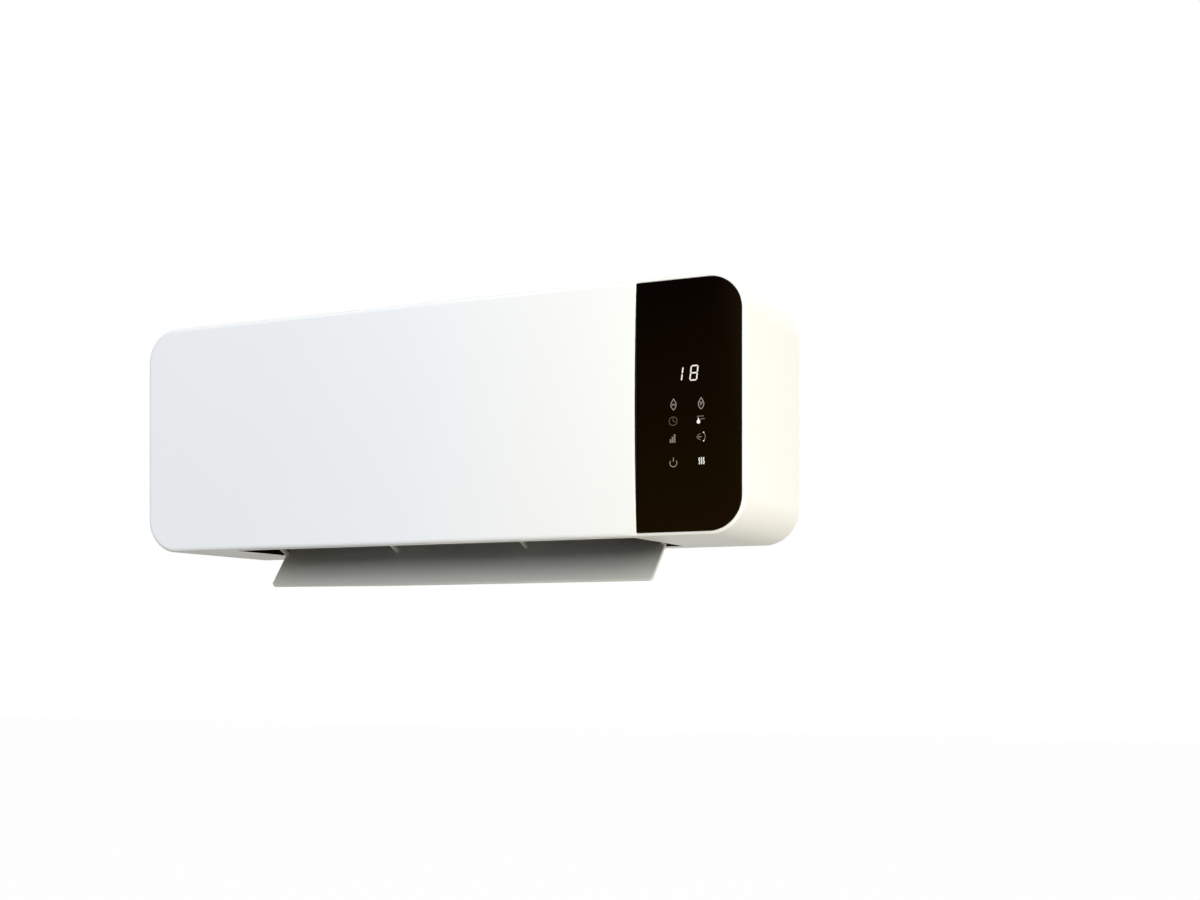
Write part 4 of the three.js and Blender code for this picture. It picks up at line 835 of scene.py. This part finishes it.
def signs():
    """Two digits over four rows of small signs, each drawn at its place on the glass."""
    left, right = SIGN_COLUMNS
    sign("digit_one", segment_digit(221.0, 17.8, 0.0, 10.0, (5, 6), 0.13), LIT_BRIGHT)
    sign("digit_eight", segment_digit(227.6, 17.7, 5.2, 10.4, range(1, 8), 0.11), LIT_BRIGHT)
    sign("sign_low_heat", stroke(flame(left, 0.9, 4.1, 8.2), closed=True)
         + stroke(arc(left, 0.3, 0.85, -25, 205, 8)), LIT_DIM)
    sign("sign_high_heat", stroke(flame(right, 0.4, 4.2, 8.4), closed=True)
         + stroke([(right - 1.1, 1.6), (right + 0.1, 0.5), (right + 1.2, 1.5)])
         + stroke([(right - 0.9, -0.9), (right + 0.5, 0.3)]), LIT_DIM)
    x, z = 214.5, -11.3
    sign("sign_timer", stroke(arc(x, z, 3.1, 0, 345, 28), closed=True)
         + stroke([(x, z + 2.2), (x, z), (x + 1.6, z - 0.7)]), LIT_FAINT)
    x, z = 234.3, -12.9
    sign("sign_thermometer_bulb", [arc(x, z, 1.4, -230, 50, 18) + [(x, z + 3.2)]], LIT_BRIGHT)
    sign("sign_thermometer", stroke([(233.5, -9.9), (233.5, -8.9), (238.4, -8.9)])
         + stroke([(235.8, -10.9), (239.2, -10.9)]), LIT_LOW)
    steps = [(211.8 + 1.6 * i, 213.1 + 1.6 * i, -24.4 + 1.7 * i) for i in range(3)]
    sign("sign_fan_speed", [[(x0, -27.1), (x1, -27.1), (x1, high), (x0, high)]
                            for x0, x1, high in steps], LIT_LOW)
    sign("sign_swing", stroke([(232.8, -23.9), (236.7, -23.9)], 0.7)
         + stroke([(233.4, -23.0), (235.8, -21.5)])
         + stroke([(233.4, -24.8), (236.0, -26.2)])
         + stroke(arc(235.6, -23.9, 3.9, -42, 42, 12)), LIT_LOW)
    sign("sign_swing_arrows", [[(237.6, -20.9), (239.0, -21.6), (238.3, -20.1)],
                               [(237.6, -26.9), (238.4, -27.7), (239.0, -26.2)]], LIT_BRIGHT)
    x = left - 0.1
    sign("sign_power", stroke(arc(x, -41.9, 2.75, 144, 396, 22))
         + stroke([(x, -37.9), (x, -41.0)]), LIT_GREENISH)
    for i in range(3):
        foot = 234.8 + 1.7 * i
        wave = [(foot + 0.04 * step + 0.35 * sin(step / 10 * 2 * pi), -43.8 + 0.5 * step)
                for step in range(11)]
        sign(f"sign_heat_wave_{i + 1}", stroke(wave, 0.85), LIT_WAVE)


# ---------------------------------------------------------------- louver
def louver_plan(left, right):
    """The blade seen from below: a slightly bowed front edge and a slanting right end."""
    front, rear = -LOUVER_FRONT, LOUVER_REAR + PAST - SLOT_CORNER
    plan = arc(right - SLOT_CORNER, rear, SLOT_CORNER, 0, 90, 8)
    plan += arc(left + SLOT_CORNER, rear, SLOT_CORNER, 90, 180, 8)
    plan += arc(left + LOUVER_CORNER, front + LOUVER_BOW_LEFT + LOUVER_CORNER, LOUVER_CORNER,
                180, 269, 8)
    plan += [(left + along, front + back) for along, back in LOUVER_BOW]
    plan += arc(right - LOUVER_TAPER - LOUVER_CORNER, front + LOUVER_BOW_RIGHT + LOUVER_CORNER,
                LOUVER_CORNER, 270, 355, 8)
    return plan + [(right, LOUVER_TAPER_START)]


def louver():
    """Thin blade with four lugs, a pin at its left end and the shaft's hole at its right."""
    left, right = OUTLET_LEFT + LOUVER_GAPS[0], OUTLET_RIGHT - LOUVER_GAPS[1]
    outer, inner = -LOUVER_OFFSET, -LOUVER_OFFSET + LOUVER_SHEET
    edge = LOUVER_SHEET / 2
    profile = arc(-LOUVER_FRONT + edge, outer + edge, edge, 90, 270, 12)
    profile += [(LOUVER_REAR, outer), (LOUVER_REAR, inner)]
    blade = prism("x", profile, left, right, "louver_blade")
    plan = prism("z", louver_plan(left, right), outer - PAST_FAR, inner + PAST_FAR)
    worked(blade, [plan], "INTERSECT")
    lug = [(y, inner - LUG_SUNK) for y in LUG_FOOT] + [LUG_BACK]
    lug += arc(0, 0, LUG_EYE, 30, 150, 8) + LUG_NOSE
    starts = [left + share * (right - left - LUG_SHEET) for share in LUG_SHARES]
    lugs = [prism("x", lug, start, start + LUG_SHEET) for start in starts]
    windows = [prism("x", LUG_WINDOW, start - PAST, start + LUG_SHEET + PAST) for start in starts]
    pin_end = extent("outlet_duct")[0][0] + PIN_START
    joined(blade, *lugs, rod("x", 0, 0, PIN_RADIUS, pin_end, left + PIN_ROOT, 32))
    cut(blade, rod("x", 0, 0, SHAFT_HOLE, right - LUG_SHEET - PAST, right + PAST, 32), *windows)
    _, pivot_y, pivot_z = centre("louver_bush_left")
    blade.data.transform(Matrix.Translation(Vector((0, pivot_y, pivot_z)) * MM)
                         @ Matrix.Rotation(LOUVER_OPEN, 4, "X"))
    # the louver's finish is the greyer copy of the white shell, partly painted shade
    fitted(softened(tidied(blade, SAME_PLANE_FINE), MOULD_EDGE), "white_shell", "louver",
           body="louver", finish=LOUVER_GREYER_AND_SHADED)


# ---------------------------------------------------------------- outlet, grille and screws
def outlet_lining():
    """The duct, with a thin black edge that lines the slot of the housing."""
    duct = copied("outlet_duct", "outlet_lining")
    low, shelf_low = BOTTOM + LIP_RISE, BOTTOM + WALL + SEAT
    high = shelf_low + SHELF_SHEET
    lip = prism("z", rounded(OUTLET_LEFT, OUTLET_RIGHT, SLOT_START, SLOT_END,
                             [SLOT_CORNER] * 4, SMALL_STEPS), low, high)
    joined(lip, bar(OUTLET_LEFT - SHELF_REACH, OUTLET_RIGHT + SHELF_REACH,
                    SLOT_START + SHELF_SETBACK, SLOT_END - SHELF_SETBACK, shelf_low, high))
    cut(lip, prism("z", rounded(OUTLET_LEFT + DUCT_LIP, OUTLET_RIGHT - DUCT_LIP_RIGHT,
                                SLOT_START + DUCT_LIP, SLOT_END - DUCT_LIP,
                                [SLOT_CORNER - DUCT_LIP] * 4, SMALL_STEPS),
                   low - PAST, high + PAST))
    joined(duct, lip)
    fitted(softened(tidied(duct), DUCT_EDGE), "black_plastic", "outlet_duct", finish=DUCT_BLACK)


def grille_spans(start, end, count):
    """Both sides of each bar across the grille's opening, with a seat at the outer ones."""
    first, last = start + GRILLE_FLANGE, end - GRILLE_FLANGE
    step = (last - first - GRILLE_BAR) / count
    return [(max(first + i * step, first + SEAT), min(first + i * step + GRILLE_BAR, last - SEAT))
            for i in range(count + 1)]


def grille_bars():
    """Long rounded slats over lower cross bars, in a frame with a thin flange under it."""
    (x0, y0, z0), (x1, y1, z1) = extent("inlet_grille")
    rows, columns = grille_spans(y0, y1, GRILLE_ROWS), grille_spans(x0, x1, GRILLE_COLUMNS)
    front, rear, left, right = rows[0][0], rows[-1][1], columns[0][0], columns[-1][1]
    bars = [prism("x", rounded(low, high, z0, z1, SLAT_RADII, SMALL_STEPS), left, right)
            for low, high in rows]
    for number, (low, high) in enumerate(columns):
        drop = CROSS_DROP if 0 < number < GRILLE_COLUMNS else 0
        bars.append(prism("y", rounded(low, high, z0, z1 - drop, CROSS_RADII, SMALL_STEPS),
                          front, rear))
    flange = bar(x0, x1, y0, y1, z0, z0 + GRILLE_SHEET, "grille_bars")
    cut(flange, bar(left + GRILLE_LEDGE, right - GRILLE_LEDGE, front + GRILLE_LEDGE,
                    rear - GRILLE_LEDGE, z0 - PAST, z1))
    joined(flange, *bars)
    fitted(crisp(flange, angle=30), "white_shell", "inlet_grille")


def cover_screws():
    """Rounded heads with a cross recess, on plain shanks."""
    for number in range(1, SCREW_COUNT + 1):
        node = f"cover_screw_{number}"
        (x0, y0, _), (x1, y1, _) = extent(node)
        x, _, z = centre(node)
        radius = (x1 - x0) / 2
        profile = [(SCREW_TOP, y1)] + [(radius * share, y1 - depth) for share, depth in SCREW_HEAD]
        profile.append((SCREW_SHANK, profile[-1][1]))
        profile += [(width, y0 + height) for width, height in SCREW_TIP]
        screw = skin(f"cover_screw_with_recess_{number}",
                     [[PLACES["y"](a, b, along) for a, b in circle(x, z, width, 48)]
                      for width, along in profile])
        cut(screw, *[bar(x - a, x + a, y1 - RECESS_DEPTH, y1 + PAST, z - b, z + b)
                     for a, b in (RECESS, RECESS[::-1])])
        fitted(crisp(screw, angle=35), "zinc_plate", node)


# Pieces that keep the solid's shape: their name, slot, rounding of edges, and body
KEPT_SHAPES = {
    "rear_cover": ("back_cover", "white_shell", 0.35, "housing"),
    "wall_plate": ("wall_bracket", "zinc_plate", 0.3, "housing"),
    "cable_grommet": ("cable_bush", "rubber", 0.5, "housing"),
    "fan_wheel": ("fan_blades", "black_plastic", 0.2, "fan"),
}


# ---------------------------------------------------------------- camera, lamps and stage
def camera():
    data = bpy.data.cameras.new("camera")
    view = placed("camera", data)
    view.location = (0.645, -1.20548, -0.18074)
    view.rotation_euler = (pi / 2, 0, 0.4269)
    data.sensor_width = 36.0
    data.lens = 47.508
    data.shift_y = 0.1692
    bpy.context.scene.camera = view


# Name, place and aim in metres, size, power in watts, colour
LAMPS = [
    ("side_lamp", (1.55, -0.5, 0.36), (0.27, -0.06, -0.03), (1.0, 1.0), 13.0, (1.0, 0.985, 0.905)),
    ("low_lamp", (1.0, -0.3, -0.75), (0.2, -0.06, -0.09), (0.5, 0.5), 4.4, (1.0, 0.96, 0.84)),
    ("rise_lamp", (0.45, -0.68, -1.0), (0.0, -0.12, -0.09), (1.0, 0.4), 2.5, (1.0, 0.98, 0.9)),
    ("top_lamp", (0.75, -0.5, 1.45), (0.22, -0.08, 0.05), (1.0, 0.5), 7.5, (1.0, 1.0, 1.0)),
    ("front_lamp", (0.2, -2.2, 0.52), (0.0, -0.1, 0.0), (1.4, 0.9), 21.4, (0.985, 0.99, 1.0)),
]


def lamp(name, place, aim, size, power, colour):
    data = bpy.data.lights.new(name, "AREA")
    data.shape = "RECTANGLE"
    data.size, data.size_y = size
    data.energy = power
    data.color = colour
    piece = placed(name, data)
    piece.location = place
    piece.rotation_euler = (Vector(aim) - Vector(place)).to_track_quat("-Z", "Y").to_euler()


def seen(kit):
    """1 for rays that show the background: the camera's, and those in metal and glass."""
    direct, glossy, through = (kit.add("ShaderNodeLightPath", output=f"Is {ray} Ray")
                               for ray in ("Camera", "Glossy", "Transmission"))
    return direct.at_least(glossy).at_least(through)


def world():
    """White where it is seen, and a softer light on the pieces."""
    sky = bpy.data.worlds.new("soft_room")
    sky.use_nodes = True
    bpy.context.scene.world = sky
    kit = Kit(sky.node_tree)
    plain = kit.add("ShaderNodeBackground", sockets={"Color": (1, 1, 1), "Strength": 1.0})
    soft = kit.add("ShaderNodeBackground", sockets={"Color": (0.97, 0.985, 1.0), "Strength": 0.5})
    mixed = kit.add("ShaderNodeMixShader", sockets={0: seen(kit), 1: soft, 2: plain})
    kit.add("ShaderNodeOutputWorld", sockets={"Surface": mixed})


def floor():
    """Wide pale floor far below, which looks as white as the background."""
    reach, depth = 20000.0, -1300.0
    ground = made("floor", [(-reach, -reach, depth), (reach, -reach, depth), (reach, reach, depth),
                            (-reach, reach, depth)], [(0, 1, 2, 3)])
    material, kit = new_finish("pale_floor")
    speckle = kit.noise(40.0, 3.0)
    pale = kit.mix(speckle, (0.13, 0.127, 0.12), (0.15, 0.147, 0.14))
    matt = kit.add("ShaderNodeBsdfDiffuse", sockets={"Color": pale})
    glow = kit.add("ShaderNodeEmission", sockets={"Color": (1, 1, 1), "Strength": seen(kit) * 0.92})
    both = kit.add("ShaderNodeAddShader", sockets={0: matt, 1: glow})
    kit.add("ShaderNodeOutputMaterial", sockets={"Surface": both})
    ground.data.materials.append(material)


# ---------------------------------------------------------------- all the pieces
camera()
world()
floor()
for values in LAMPS:
    lamp(*values)
bpy.context.scene.view_settings.view_transform = "Standard"

housing()
front_panel()
panel_end_strip()
control_glass()
signs()
louver()
outlet_lining()
grille_bars()
cover_screws()
for node, (name, slot, width, body) in KEPT_SHAPES.items():
    fitted(softened(copied(node, name), width), slot, node, body=body)

for row in frame["record"]["subparts"]:
    for place in frame["nodes"][row["node"]].material_slots:
        place.material = FINISHES[row["material_slot"]]
